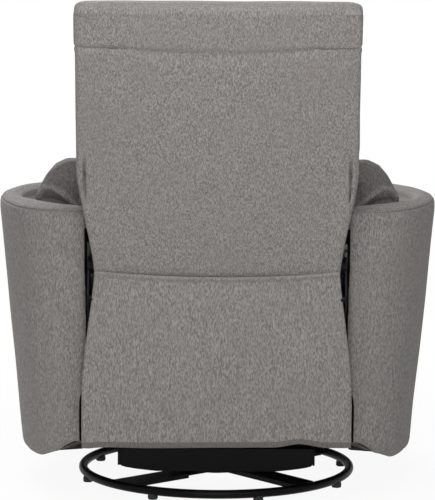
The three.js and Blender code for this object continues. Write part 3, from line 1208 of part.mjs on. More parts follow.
function headrest() {
  const rearRound = HEAD_CORNER_ROUND;
  const frontRound = HEAD_TOP_ROUND;
  const corner = rearRound / 7;
  const rearTop = levelAlong(TOP_Z - rearRound, rearRound);
  const frontTop = levelAlong(TOP_Z - HEAD_TOP_FALL - frontRound, HEAD_DEPTH - frontRound);
  const profile = new THREE.Shape();
  const level = BACK_TILT;
  profile.moveTo(corner, levelAlong(CREASE_Z, corner));
  profile.absarc(HEAD_HINGE_DEPTH, HEAD_HINGE_ALONG, HEAD_HINGE_ROUND, -Math.PI / 2 - level, 0, false);
  profile.absarc(HEAD_DEPTH - frontRound, frontTop, frontRound, 0, Math.PI / 2 - level, false);
  profile.absarc(rearRound, rearTop, rearRound, Math.PI / 2 - level, Math.PI, false);
  profile.lineTo(0, CREASE + corner);
  const flat = profile.getPoints(4);
  const middleDepth = HEAD_DEPTH / 2;
  const middleAlong = levelAlong((CREASE_Z + TOP_Z) / 2, middleDepth);
  const rings = [];
  const endShares = [1, 0.985, 0.95, 0.86, 0.5];
  const across = [...endShares.map((s) => -s), ...endShares.slice().reverse()];
  for (const share of across) {
    const shrink = 1 - 0.12 * Math.abs(share) ** 40 - 0.02 * Math.abs(share) ** 6;
    rings.push(flat.map((p) => {
      const depth = middleDepth + (p.x - middleDepth) * shrink;
      const along = middleAlong + (p.y - middleAlong) * shrink;
      return onBack(HEAD_HALF_WIDTH * share, along, depth);
    }));
  }
  const pockets = SIDES.map(({ sign }) => {
    const half = HEAD_HINGE_PLATE / 2 + HEAD_HINGE_CLEARANCE;
    const reach = HEAD_HINGE_EYE + HEAD_HINGE_CLEARANCE;
    return laidOnBack(block(
      sign * HEAD_HINGE_X - half, sign * HEAD_HINGE_X + half,
      HEAD_HINGE_ALONG - HEAD_HINGE_ROUND - CUT_OVERRUN, HEAD_HINGE_ALONG + reach,
      BACK_FRAME_DEPTH - 2 * HEAD_HINGE_CLEARANCE, HEAD_HINGE_DEPTH + reach,
    ));
  });
  const bores = SIDES.map(({ sign }) => laidOnBack(headHingePin(sign, PIN_CLEARANCE, CUT_OVERRUN)));
  return cut(closedLoft(rings), ...pockets, ...bores);
}

function headHingePin(sign, wider, longer) {
  const reach = HEAD_HINGE_PLATE / 2 + HEAD_HINGE_PIN_REACH + longer;
  return rodAlongX(
    HEAD_HINGE_PIN_RADIUS + wider, sign * HEAD_HINGE_X - reach, sign * HEAD_HINGE_X + reach,
    HEAD_HINGE_ALONG, HEAD_HINGE_DEPTH, 14,
  );
}

// The steel yoke on the back frame's top bar that the head section tilts on
function headHinge() {
  const strapHalf = HEAD_HINGE_X + HEAD_HINGE_PLATE * 3;
  const foot = BACK_FRAME_TOP + SEAT_GAP;
  const [near, far] = [BACK_FRAME_DEPTH + 1, CUSHION_START_DEPTH - 1];
  const strap = block(-strapHalf, strapHalf, foot, foot + HEAD_HINGE_PLATE, near, far);
  const top = HEAD_HINGE_ALONG + HEAD_HINGE_EYE;
  const arms = SIDES.flatMap(({ sign }) => {
    const [x0, x1] = [sign * HEAD_HINGE_X - HEAD_HINGE_PLATE / 2, sign * HEAD_HINGE_X + HEAD_HINGE_PLATE / 2];
    return [
      block(x0, x1, foot, top, near, far),
      block(x0, x1, HEAD_HINGE_ALONG - HEAD_HINGE_EYE, top, near, HEAD_HINGE_DEPTH),
      rodAlongX(HEAD_HINGE_EYE, x0, x1, HEAD_HINGE_ALONG, HEAD_HINGE_DEPTH, 18),
      headHingePin(sign, 0, 0),
    ];
  });
  return laidOnBack(join(strap, ...arms));
}

function backAssembly() {
  const back = new THREE.Group();
  for (const side of SIDES) {
    back.add(piece(`recline_bracket_${side.name}`, mirrored(reclineBracket(), side.sign), zincSteel()));
  }
  back.add(piece('back_frame', backFrame(), timber()));
  back.add(piece('outside_back', outsideBack(), upholstery()));
  back.add(piece('back_cushion', backCushion(), upholstery()));
  back.add(piece('lumbar_cushion', lumbarCushion(), upholstery()));
  back.add(piece('headrest_hinge', headHinge(), zincSteel()));
  back.add(piece('headrest', headrest(), upholstery()));
  return back;
}

// Footrest: each side has two crossing links a stage, in two layers, and two stages

const KNEE_Y = SCISSOR_Y - SCISSOR_REST_REACH;
const TOE_Y = KNEE_Y - SCISSOR_REST_REACH;
const LOW_Z = SCISSOR_Z - SCISSOR_REST_DROP;

function scissorLink(layer, y0, z0, y1, z1, bores) {
  const outline = linkOutline(y0, z0, y1, z1, SCISSOR_LINK_HALF, SCISSOR_LINK_HALF * 0.9);
  for (const [y, z] of bores) outline.holes.push(roundHole(y, z, SCISSOR_PIN_RADIUS + PIN_CLEARANCE));
  return sheetAcrossX(outline, layer, layer + SCISSOR_THICKNESS);
}

// A rivet carried by an outer-layer link that passes through the inner-layer link
function rivetInward(y, z) {
  return [
    rodAlongX(SCISSOR_PIN_RADIUS, LAYER_B - SEAT_GAP, LAYER_A + SEAT_GAP, y, z, 14),
    rodAlongX(SCISSOR_PIN_RADIUS + PIN_HEAD, LAYER_B - SEAT_GAP - PIN_HEAD / 2, LAYER_B - SEAT_GAP, y, z, 14),
  ];
}

function outerLinkFirst() {
  const plate = scissorLink(LAYER_A, SCISSOR_Y, SCISSOR_Z, KNEE_Y, LOW_Z, [[SCISSOR_Y, SCISSOR_Z]]);
  const middle = [(SCISSOR_Y + KNEE_Y) / 2, (SCISSOR_Z + LOW_Z) / 2];
  return join(plate, ...rivetInward(...middle), ...rivetInward(KNEE_Y, LOW_Z));
}

// The two inner links of the first stage with the tube that ties left to right
function innerFrameFirst() {
  const middle = [(SCISSOR_Y + KNEE_Y) / 2, (SCISSOR_Z + LOW_Z) / 2];
  const side = () => join(
    scissorLink(LAYER_B, SCISSOR_Y, LOW_Z, KNEE_Y, SCISSOR_Z, [middle, [KNEE_Y, SCISSOR_Z]]),
    rodAlongX(SCISSOR_PIN_RADIUS, LAYER_B + SCISSOR_THICKNESS - SEAT_GAP, PLATE_X + PLATE_THICKNESS, SCISSOR_Y, LOW_Z, 14),
  );
  const tubeShare = 0.25;
  const tube = rodAlongX(
    SCISSOR_TUBE_RADIUS, -LAYER_B - SEAT_GAP, LAYER_B + SEAT_GAP,
    lerp(SCISSOR_Y, KNEE_Y, tubeShare), lerp(LOW_Z, SCISSOR_Z, tubeShare), 16,
  );
  return join(side(), mirrored(side(), -1), tube);
}

function innerLinkSecond() {
  const middle = [(KNEE_Y + TOE_Y) / 2, (SCISSOR_Z + LOW_Z) / 2];
  return scissorLink(LAYER_B, KNEE_Y, LOW_Z, TOE_Y, SCISSOR_Z, [middle, [KNEE_Y, LOW_Z], [TOE_Y, SCISSOR_Z]]);
}

function outerLinkSecond() {
  const plate = scissorLink(LAYER_A, KNEE_Y, SCISSOR_Z, TOE_Y, LOW_Z, []);
  const middle = [(KNEE_Y + TOE_Y) / 2, (SCISSOR_Z + LOW_Z) / 2];
  return join(plate, ...rivetInward(...middle), ...rivetInward(KNEE_Y, SCISSOR_Z), ...rivetInward(TOE_Y, LOW_Z));
}

// The short link that keeps the board parallel to the outer links
const HALF_REACH = SCISSOR_REST_REACH / 2;
const HALF_DROP = SCISSOR_REST_DROP / 2;

function boardLink() {
  const [endY, endZ] = [TOE_Y - HALF_REACH, LOW_Z + HALF_DROP];
  return scissorLink(LAYER_B, TOE_Y, LOW_Z, endY, endZ, [[TOE_Y, LOW_Z], [endY, endZ]]);
}

// Forms drawn from the board's hinge line, then leaned and set in place
function hungOnToe(geometry) {
  return geometry.rotateX(BOARD_LEAN).translate(0, TOE_Y, SCISSOR_Z);
}

function boardBracket() {
  const half = SCISSOR_LINK_HALF;
  const angle = SCISSOR_REST + BOARD_LEAN;
  const [lowY, lowZ] = [-(SCISSOR_LENGTH / 2) * Math.sin(angle), -(SCISSOR_LENGTH / 2) * Math.cos(angle)];
  const face = -BOARD_REACH + SEAT_GAP;
  const strap = linkOutline(0, 0, lowY, lowZ, half, half * 0.9);
  const web = new THREE.Shape();
  web.moveTo(face, 2 * half);
  web.lineTo(-half / 2, half / 2);
  web.lineTo(lowY - half / 2, lowZ);
  web.lineTo(face, lowZ - 2 * half);
  const [x0, x1] = [LAYER_A, LAYER_A + SCISSOR_THICKNESS];
  const flange = block(
    x1 - BOARD_BRACKET_FLANGE, x1, face, face + BOARD_BRACKET_THICKNESS, lowZ - 2 * half, 2 * half,
  );
  const body = join(sheetAcrossX(strap, x0, x1), sheetAcrossX(web, x0, x1), flange);
  const placed = hungOnToe(body);
  return join(placed, ...rivetInward(TOE_Y, SCISSOR_Z), ...rivetInward(TOE_Y - HALF_REACH, LOW_Z + HALF_DROP));
}

function footrestBoard() {
  return hungOnToe(block(
    -BOARD_HALF_WIDTH, BOARD_HALF_WIDTH, -BOARD_REACH - BOARD_THICKNESS, -BOARD_REACH, -BOARD_DROP, BOARD_RISE,
  ));
}

function footrestPad() {
  const halfHeight = (BOARD_RISE + BOARD_DROP) / 2 + PAD_OVERHANG;
  return hungOnToe(boxCushion({
    halfX: PAD_HALF_WIDTH, halfY: halfHeight, thick: PAD_THICKNESS, crown: PAD_CROWN, round: PAD_ROUND, draw: 3, sides: 32,
  })
    .rotateX(Math.PI / 2)
    .translate(0, -BOARD_REACH - BOARD_THICKNESS - SEAT_GAP, (BOARD_RISE - BOARD_DROP) / 2));
}

function footrestAssembly() {
  const footrest = new THREE.Group();
  for (const side of SIDES) {
    footrest.add(piece(`scissor_outer_1_${side.name}`, mirrored(outerLinkFirst(), side.sign), zincSteel()));
    footrest.add(piece(`scissor_inner_2_${side.name}`, mirrored(innerLinkSecond(), side.sign), zincSteel()));
    footrest.add(piece(`scissor_outer_2_${side.name}`, mirrored(outerLinkSecond(), side.sign), zincSteel()));
    footrest.add(piece(`board_link_${side.name}`, mirrored(boardLink(), side.sign), zincSteel()));
    footrest.add(piece(`board_bracket_${side.name}`, mirrored(boardBracket(), side.sign), zincSteel()));
  }
  footrest.add(piece('scissor_inner_frame', innerFrameFirst(), zincSteel()));
  footrest.add(piece('footrest_board', footrestBoard(), timber()));
  footrest.add(piece('footrest_pad', footrestPad(), upholstery()));
  return footrest;
}

const chair = new THREE.Group();
chair.add(baseAssembly(), deckAssembly(), chassisAssembly(), seatAssembly(), backAssembly(), footrestAssembly());

export default chair;
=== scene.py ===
# Looks for the swivel glider recliner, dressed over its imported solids.
# Metres, +Z up, the sitter faces -Y, and the camera stands behind the chair.
import math

import bpy
import numpy as np
from mathutils import Matrix, Vector, noise
from mathutils.bvhtree import BVHTree
from mathutils.kdtree import KDTree


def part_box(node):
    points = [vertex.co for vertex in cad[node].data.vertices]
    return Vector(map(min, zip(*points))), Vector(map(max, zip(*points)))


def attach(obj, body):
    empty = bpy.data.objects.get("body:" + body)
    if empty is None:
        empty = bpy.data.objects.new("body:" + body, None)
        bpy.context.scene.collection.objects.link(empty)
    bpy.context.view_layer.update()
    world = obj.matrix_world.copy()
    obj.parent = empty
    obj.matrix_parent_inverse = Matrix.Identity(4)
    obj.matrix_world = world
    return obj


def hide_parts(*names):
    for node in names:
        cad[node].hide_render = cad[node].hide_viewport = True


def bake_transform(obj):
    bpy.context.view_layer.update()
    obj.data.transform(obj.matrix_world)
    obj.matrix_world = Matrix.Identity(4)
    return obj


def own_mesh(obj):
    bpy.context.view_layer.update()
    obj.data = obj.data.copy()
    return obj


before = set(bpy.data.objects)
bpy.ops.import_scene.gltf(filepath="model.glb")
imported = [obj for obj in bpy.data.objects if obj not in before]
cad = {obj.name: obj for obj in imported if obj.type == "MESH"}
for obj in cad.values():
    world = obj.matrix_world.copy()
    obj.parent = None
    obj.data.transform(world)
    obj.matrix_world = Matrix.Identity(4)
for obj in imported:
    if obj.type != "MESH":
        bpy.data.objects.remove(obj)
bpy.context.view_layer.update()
scene = bpy.context.scene

SIDES = (("left", 1), ("right", -1))

# Camera: it stands six metres behind the chair and looks a little down at it
CAMERA_DISTANCE = 6.0
CAMERA_HEIGHT = 1.290
CAMERA_PITCH = math.radians(7.5)
CAMERA_ROLL = math.radians(0.28)
IMAGE_HEIGHT_PIXELS = 500
FOCAL_PIXELS = 2895
SENSOR = 36.0
VIEW_SHIFT_X_SHARE = 0.0004
VIEW_SHIFT_Y_SHARE = -0.0224

# The back: its recline axis, its lean and its sizes, as in the solids
RECLINE_Y = 0.305
RECLINE_Z = 0.485
BACK_TILT = math.radians(12)
BACK_ROLL_RADIUS = 0.045
BACK_ROLL_ANGLE = math.radians(62)
BACK_HALF_WIDTH = 0.276
BACK_SEAM_HALF_WIDTH = 0.243
BACK_TAPER_END = 0.205
BACK_PANEL_DEPTH = 0.022
BACK_CROWN = 0.005
CREASE_Z = 0.922
TOP_Z = 1.016
HEAD_HALF_WIDTH = 0.278
HEAD_CORNER_ROUND = 0.022

# The arms, as in the solids
ARM_INNER_X = 0.272
ARM_HALF_WIDTH = 0.4598
ARM_REAR_Y = 0.300
ARM_FRONT_Y = -0.458
ARM_RIM_REAR_Z = 0.597
ARM_RIM_FRONT_Z = 0.572
ARM_BOTTOM_Z = 0.058
ARM_REAR_RISE = 0.068
ARM_REAR_RISE_LENGTH = 0.262
ARM_TAPER = 0.054
ARM_SHOULDER = 0.005
ARM_SHOULDER_DROP = 0.036
ARM_BOTTOM_ROUND = 0.024
ARM_FOOT_TURN_LOW_Y = 0.06
ARM_FOOT_TURN_HIGH_Y = 0.24
ARM_FOOT_INNER_RISE = -0.003
ARM_FOOT_OUTER_FALL = 0.022
ARM_RIM_CROWN = 0.005
ARM_RIM_ROUND = 0.0115
ARM_SCOOP_Z = 0.455
ARM_END_ROUND = 0.004
ARM_END_SETBACK = 0.040
ARM_REAR_LEAN_SHARE = 0.4
ARM_REAR_RETURN = 0.0135
ARM_RETURN_LOW_Z = 0.20
ARM_RETURN_HIGH_Z = 0.27
ARM_BLACK_CLOTH_REACH = 0.012
ARM_BLACK_CLOTH_FRONT_Y = -0.33

# The rear skirt
SKIRT_TOP_HALF_WIDTH = 0.238
SKIRT_HALF_WIDTH = 0.268
SKIRT_TOP_Z = 0.4815
SKIRT_BOW = 0.011
SKIRT_BOTTOM_Z = 0.126
SKIRT_Y = 0.3512
SKIRT_CLOTH = 0.0035
SKIRT_HEM = 0.014
SKIRT_BEAD = 0.0040

# Seams
WELT_RADIUS = 0.0028
ARM_WELT_RADIUS = 0.0022
ARM_WELT_INSET = 0.0035
SEAM_WIDTH = 0.006
SEAM_STEP = 0.004
PUCKER_SCALE = 55.0


# Node trees

def set_values(thing, **values):
    for label, value in values.items():
        setattr(thing, label, value)


def set_inputs(tree, node, inputs):
    """Links a node's inputs to sockets or sets them to values."""
    for label, value in inputs.items():
        if isinstance(value, bpy.types.NodeSocket):
            tree.links.new(value, node.inputs[label])
        else:
            node.inputs[label].default_value = value


def add_node(tree, kind, inputs, **settings):
    node = tree.nodes.new("ShaderNode" + kind)
    set_values(node, **settings)
    set_inputs(tree, node, inputs)
    return node


def add_sockets(tree, in_out, colours, values=()):
    for label in colours + values:
        kind = "NodeSocketColor" if label in colours else "NodeSocketFloat"
        tree.interface.new_socket(label, in_out=in_out, socket_type=kind)


def new_group(name, colours, values=()):
    """A surface pattern: its tree, the sockets that come in and the places on the surface."""
    tree = bpy.data.node_groups.new(name, "ShaderNodeTree")
    add_sockets(tree, "INPUT", colours, values)
    add_sockets(tree, "OUTPUT", ("Colour",), ("Height", "Roughness"))
    return tree, tree.nodes.new("NodeGroupInput").outputs, add_node(tree, "TexCoord", {}).outputs


def finish_group(tree, colour, height, roughness):
    leave = tree.nodes.new("NodeGroupOutput")
    set_inputs(tree, leave, {"Colour": colour, "Height": height, "Roughness": roughness})
    return tree


def stretched_coordinates(tree, source, stretch):
    """Coordinates drawn out so that a pattern runs long where stretch is small."""
    return add_node(tree, "Mapping", {"Vector": source, "Scale": stretch}).outputs["Vector"]


def noise_of(tree, vector, scale, detail=2.0, roughness=0.5):
    inputs = {"Vector": vector, "Scale": scale, "Detail": detail, "Roughness": roughness}
    return add_node(tree, "TexNoise", inputs).outputs["Fac"]


def ramp_of(tree, factor, *stops):
    """A grey ramp through (place, level) stops."""
    node = add_node(tree, "ValToRGB", {"Fac": factor})
    for point, (place, level) in zip(node.color_ramp.elements, stops):
        point.position = place
        point.color = (level, level, level, 1)
    return node.outputs["Color"]


def math_of(tree, operation, first, second, clamp=False):
    return add_node(tree, "Math", {0: first, 1: second}, operation=operation, use_clamp=clamp).outputs[0]


def sum_of(tree, *parts):
    """The sum of sockets, each times its share, and of a number."""
    total = None
    for part in parts:
        if isinstance(part, tuple):
            part = math_of(tree, "MULTIPLY", *part)
        total = part if total is None else math_of(tree, "ADD", total, part)
    return total


def mix_values(tree, factor, first, second):
    return add_node(tree, "Mix", {0: factor, 2: first, 3: second}, data_type="FLOAT").outputs[0]


def mix_colours(tree, factor, first, second, blend="MIX"):
    inputs = {0: factor, 6: first, 7: second}
    return add_node(tree, "Mix", inputs, data_type="RGBA", blend_type=blend).outputs[2]


# Heathered chenille: short upright streaks of pale and dark yarn over a soft nap

FLECK_SCALE = 760.0
YARN_SCALE = 1700.0
SLUB_SCALE = 330.0
STREAK_STRETCH = 0.20


def make_chenille_group():
    tree, entry, where = new_group("heathered_chenille", ("Dark Yarn", "Pale Yarn", "Warm Yarn"))
    up = add_node(tree, "SeparateXYZ", {"Vector": where["Normal"]}).outputs["Z"]
    level = math_of(tree, "ABSOLUTE", up, 0.0)
    lying = math_of(tree, "SUBTRACT", math_of(tree, "MULTIPLY", level, 4.0), 2.6, clamp=True)
    upright = stretched_coordinates(tree, where["Object"], (1.0, 1.0, STREAK_STRETCH))
    flat = stretched_coordinates(tree, where["Object"], (1.0, STREAK_STRETCH, 1.0))
    layers = []
    for scale, detail in ((FLECK_SCALE, 2.0), (YARN_SCALE, 1.0), (SLUB_SCALE, 2.0)):
        standing = noise_of(tree, upright, scale, detail)
        laid = noise_of(tree, flat, scale, detail)
        layers.append(mix_values(tree, lying, standing, laid))
    fleck, yarn, slub = layers
    cloud = noise_of(tree, where["Object"], 11.0, 3.0)
    streak = sum_of(tree, (fleck, 0.76), (slub, 0.24))
    shade = ramp_of(tree, streak, (0.41, 0), (0.59, 1))
    body = mix_colours(tree, shade, entry["Dark Yarn"], entry["Pale Yarn"])
    tint = ramp_of(tree, cloud, (0.45, 0), (0.75, 0.45))
    warmed = mix_colours(tree, tint, body, entry["Warm Yarn"])
    lit = ramp_of(tree, yarn, (0.25, 0.84), (0.75, 1.14))
    colour = mix_colours(tree, 1.0, warmed, lit, "MULTIPLY")
    height = sum_of(tree, (yarn, 0.6), (fleck, 0.4))
    return finish_group(tree, colour, height, sum_of(tree, (fleck, 0.14), 0.82))


# Painted or plated metal: a fine orange peel and rubbed patches

def make_metal_wear_group():
    tree, entry, where = new_group("metal_wear", ("Clean", "Rubbed"), ("Smooth Roughness", "Dull Roughness"))
    peel = noise_of(tree, where["Object"], 900.0)
    patch = noise_of(tree, where["Object"], 24.0, 5.0, 0.62)
    brushed = stretched_coordinates(tree, where["Object"], (0.1, 1.0, 1.0))
    scratch = noise_of(tree, brushed, 700.0)
    worn = ramp_of(tree, patch, (0.52, 0), (0.78, 1))
    dull = sum_of(tree, (patch, 0.6), (scratch, 0.4))
    return finish_group(
        tree, mix_colours(tree, worn, entry["Clean"], entry["Rubbed"]), sum_of(tree, peel, (scratch, 0.5)),
        mix_values(tree, dull, entry["Smooth Roughness"], entry["Dull Roughness"]),
    )


# Plywood: long grain on the faces

def make_grain_group():
    tree, entry, where = new_group("plywood_grain", ("Early Wood", "Late Wood"))
    long = stretched_coordinates(tree, where["Object"], (0.06, 1.0, 1.0))
    bands = noise_of(tree, long, 60.0, 6.0, 0.6)
    pores = noise_of(tree, long, 900.0)
    plies = add_node(
        tree, "TexWave", {"Vector": where["Object"], "Scale": 95.0, "Distortion": 1.2}, bands_direction="Z")
    shade = ramp_of(tree, sum_of(tree, (bands, 0.75), (plies.outputs["Fac"], 0.25)), (0.3, 0), (0.7, 1))
    return finish_group(
        tree, mix_colours(tree, shade, entry["Early Wood"], entry["Late Wood"]),
        sum_of(tree, bands, (pores, 0.4)), sum_of(tree, (pores, 0.2), 0.55),
    )


# Small pits and specks for rubber and for the felted black cloth, which is the dust cloth under the arms and
# painted shade in the gaps

def make_speckle_group():
    tree, entry, where = new_group("speckle", ("Ground", "Speck"), ("Scale",))
    cells = add_node(tree, "TexVoronoi", {"Vector": where["Object"], "Scale": entry["Scale"]})
    pits = cells.outputs["Distance"]
    cloud = noise_of(tree, where["Object"], 30.0, 4.0)
    shade = math_of(tree, "MULTIPLY", pits, cloud)
    colour = mix_colours(tree, shade, entry["Ground"], entry["Speck"])
    return finish_group(tree, colour, pits, sum_of(tree, (cloud, 0.25), 0.68))


def material_from(name, group, values, bump_distance, bump_strength, metallic=0.0, sheen=0.0, specular=0.5):
    """A Principled surface whose colour, roughness and bump come from a shared group."""
    material = bpy.data.materials.new(name)
    material.use_nodes = True
    tree = material.node_tree
    pattern = add_node(tree, "Group", values, node_tree=group).outputs
    bump = add_node(
        tree, "Bump", {"Distance": bump_distance, "Strength": bump_strength, "Height": pattern["Height"]})
    set_inputs(tree, tree.nodes["Principled BSDF"], {
        "Base Color": pattern["Colour"], "Roughness": pattern["Roughness"], "Normal": bump.outputs["Normal"],
        "Metallic": metallic, "Specular IOR Level": specular, "Sheen Weight": sheen, "Sheen Roughness": 0.5,
    })
    return material


chenille_group = make_chenille_group()
metal_group = make_metal_wear_group()
speckle_group = make_speckle_group()


def chenille_from(name, dark, pale, warm, bump_distance=0.0009, bump_strength=0.55):
    yarns = {"Dark Yarn": (*dark, 1), "Pale Yarn": (*pale, 1), "Warm Yarn": (*warm, 1)}
    return material_from(name, chenille_group, yarns, bump_distance, bump_strength, sheen=0.04, specular=0.2)


def metal_from(name, clean, rubbed, smooth, dull, bump_distance=0.00015, **surface):
    finish = {
        "Clean": (*clean, 1), "Rubbed": (*rubbed, 1), "Smooth Roughness": smooth, "Dull Roughness": dull,
    }
    return material_from(name, metal_group, finish, bump_distance, 0.25, **surface)


chenille = chenille_from(
    "grey_chenille", (0.148, 0.140, 0.133), (0.318, 0.303, 0.288), (0.235, 0.208, 0.198))
# A darker copy of the grey chenille, as painted shade: it darkens the lumbar pad, which sits in shade
# between the arms, and the skirt's downturned hem.
shaded_chenille = chenille_from(
    "shaded_chenille", (0.108, 0.102, 0.097), (0.240, 0.229, 0.218), (0.175, 0.155, 0.148))
welt_cloth = chenille_from(
    "welt_chenille", (0.140, 0.133, 0.126), (0.280, 0.266, 0.254), (0.215, 0.192, 0.182), 0.0006, 0.5)
black_steel = metal_from(
    "black_powder_coat", (0.0022, 0.0022, 0.0024), (0.0050, 0.0050, 0.0053), 0.30, 0.52,
    bump_distance=0.0002, specular=0.08,
)
zinc_steel = metal_from("zinc_plate", (0.55, 0.56, 0.57), (0.40, 0.41, 0.42), 0.24, 0.5, metallic=1.0)
# Plated steel whose near-black colour is painted shade: it darkens the recline brackets that show in the gap
# behind the arms.
zinc_darkened_as_shade = metal_from(
    "zinc_plate_painted_shade", (0.030, 0.030, 0.032), (0.060, 0.060, 0.062), 0.35, 0.55, metallic=1.0)
plywood = material_from(
    "birch_plywood", make_grain_group(),
    {"Early Wood": (0.56, 0.38, 0.21, 1), "Late Wood": (0.38, 0.23, 0.11, 1)}, 0.0004, 0.35,
)
rubber = material_from(
    "black_rubber", speckle_group,
    {"Ground": (0.008, 0.008, 0.008, 1), "Speck": (0.03, 0.03, 0.03, 1), "Scale": 900.0}, 0.0003, 0.3,
)
# Black felted cloth: the real dust cloth under the arms, and painted shade on the sides of the seat, back,
# lumbar and arm covers that face into the dark gaps.
lining = material_from(
    "black_dust_cloth_and_painted_shade", speckle_group,
    {"Ground": (0.003, 0.003, 0.003, 1), "Speck": (0.012, 0.012, 0.012, 1), "Scale": 600.0},
    0.0005, 0.5, specular=0.1,
)


# Meshes

def piece_from(name, points, faces, material, smooth=True):
    mesh = bpy.data.meshes.new(name)
    mesh.from_pydata([tuple(p) for p in points], [], faces)
    mesh.update()
    mesh.polygons.foreach_set("use_smooth", [smooth] * len(mesh.polygons))
    piece = bpy.data.objects.new(name, mesh)
    scene.collection.objects.link(piece)
    piece.data.materials.append(material)
    return piece


def read(rows, label):
    """One vector of every vertex or face of a mesh."""
    found = np.zeros(len(rows) * 3)
    rows.foreach_get(label, found)
    return found.reshape(-1, 3)


def points_of(piece):
    return read(piece.data.vertices, "co")


def normals_of(piece):
    return read(piece.data.vertex_normals, "vector")


def middles_of(piece):
    return read(piece.data.polygons, "center")


def facings_of(piece):
    return read(piece.data.polygons, "normal")


def set_points(piece, points):
    piece.data.vertices.foreach_set("co", np.asarray(points, np.float32).ravel())
    piece.data.update()


def side_faces(ring_count, ring_size, closed=False):
    """Quads between rings laid one after another, and from the last to the first where closed."""
    faces = []
    for k in range(ring_count if closed else ring_count - 1):
        low, high = k * ring_size, (k + 1) % ring_count * ring_size
        for i in range(ring_size):
            j = (i + 1) % ring_size
            faces.append((low + i, low + j, high + j, high + i))
    return faces


def fan_cap(points, ring_start, ring_size, forward):
    """A middle point and triangles over one end ring."""
    points.append(np.mean(points[ring_start:ring_start + ring_size], axis=0))
    hub = len(points) - 1
    faces = []
    for i in range(ring_size):
        a, b = ring_start + i, ring_start + (i + 1) % ring_size
        faces.append((a, b, hub) if forward else (b, a, hub))
    return faces


def strip_cap(ring_start, ring_size, forward):
    """Quads between the two halves of one end ring that face each other."""
    faces = []
    for i in range(ring_size // 2 - 1):
        a, b = ring_start + i, ring_start + i + 1
        c, d = ring_start + ring_size - 2 - i, ring_start + ring_size - 1 - i
        faces.append((a, b, c, d) if forward else (a, d, c, b))
    return faces


def pick(piece):
    bpy.context.view_layer.objects.active = piece
    bpy.ops.object.select_all(action="DESELECT")
    piece.select_set(True)


def outward(piece):
    """Turns all faces outwards."""
    pick(piece)
    bpy.ops.object.mode_set(mode="EDIT")
    bpy.ops.mesh.select_all(action="SELECT")
    bpy.ops.mesh.normals_make_consistent(inside=False)
    bpy.ops.object.mode_set(mode="OBJECT")
    return piece


def lofted(name, rings, material, strip_ends=False):
    size = len(rings[0])
    points = [np.asarray(p, float) for ring in rings for p in ring]
    faces = side_faces(len(rings), size)
    last = (len(rings) - 1) * size
    if strip_ends:
        faces += strip_cap(0, size, False) + strip_cap(last, size, True)
    else:
        faces += fan_cap(points, 0, size, False) + fan_cap(points, last, size, True)
    return outward(piece_from(name, points, faces, material))


def modified(piece, kind, **values):
    """Adds one modifier and applies it."""
    modifier = piece.modifiers.new(kind.lower(), kind)
    set_values(modifier, **values)
    pick(piece)
    bpy.ops.object.modifier_apply(modifier=modifier.name)


def copy_of(node, name, material):
    """A new piece with the form of a CAD node."""
    piece = bpy.data.objects.new(name, cad[node].data.copy())
    scene.collection.objects.link(piece)
    piece.data.materials.clear()
    piece.data.materials.append(material)
    return piece


def even_copy_of(node, name, material, voxel, smoothing=4):
    """The form of a CAD node as an even, softened mesh."""
    piece = copy_of(node, name, material)
    modified(piece, "REMESH", mode="VOXEL", voxel_size=voxel, use_smooth_shade=True)
    if smoothing:
        modified(piece, "SMOOTH", iterations=smoothing, factor=0.5)
    return piece


def smooth_step(value, low, high):
    share = np.clip((value - low) / (high - low), 0, 1)
    return share * share * (3 - 2 * share)


def mix(a, b, share):
    return a + (b - a) * share


def shares(steps):
    return [k / steps for k in range(steps + 1)]


def wave_field(points, scale, seed):
    """Slow random waves from -1 to 1, the same in every run."""
    shift = Vector((seed * 3.1, seed * 1.7, seed * 2.3))
    return np.array([noise.noise(Vector(p) * scale + shift) for p in points])


def faced(piece, chosen, cloth):
    """Gives the chosen faces another cloth, such as black cloth as painted shade on sides that face into
    dark gaps.
    """
    piece.data.materials.append(cloth)
    slots = np.zeros(len(piece.data.polygons), np.int32)
    piece.data.polygons.foreach_get("material_index", slots)
    slots[chosen] = len(piece.data.materials) - 1
    piece.data.polygons.foreach_set("material_index", slots)
    piece.data.update()


def ruffled(piece, height, scale, seed):
    """Gives a surface the slight unevenness of stuffing under cloth."""
    points = points_of(piece)
    set_points(piece, points + normals_of(piece) * (wave_field(points, scale, seed) * height)[:, None])


# Stuffed pieces: pressure swells the cloth between seams that are held

def seam_distance(piece, paths):
    """How far each point of a piece lies from the nearest seam."""
    dots = [Vector(p) for path in paths for p in path]
    tree = KDTree(len(dots))
    for index, dot in enumerate(dots):
        tree.insert(dot, index)
    tree.balance()
    return np.array([tree.find(Vector(p))[2] for p in points_of(piece)])


def dense(path, step, closed):
    """Points along a path no further apart than step."""
    points = [np.asarray(p, float) for p in path]
    if closed:
        points = points + [points[0]]
    made = []
    for a, b in zip(points, points[1:]):
        count = max(1, int(np.linalg.norm(b - a) / step))
        made.extend(a + (b - a) * (k / count) for k in range(count))
    if not closed:
        made.append(points[-1])
    return made


def surface_tree(piece):
    return BVHTree.FromPolygons(
        [tuple(p) for p in points_of(piece)], [tuple(f.vertices) for f in piece.data.polygons])


def onto_surface(piece, path):
    """The path's points moved to the nearest place on a piece."""
    tree = surface_tree(piece)
    return [np.array(tree.find_nearest(Vector(p))[0]) for p in path]


SWELL_FRAMES = 20
SWELL_GROWTH = 0.01


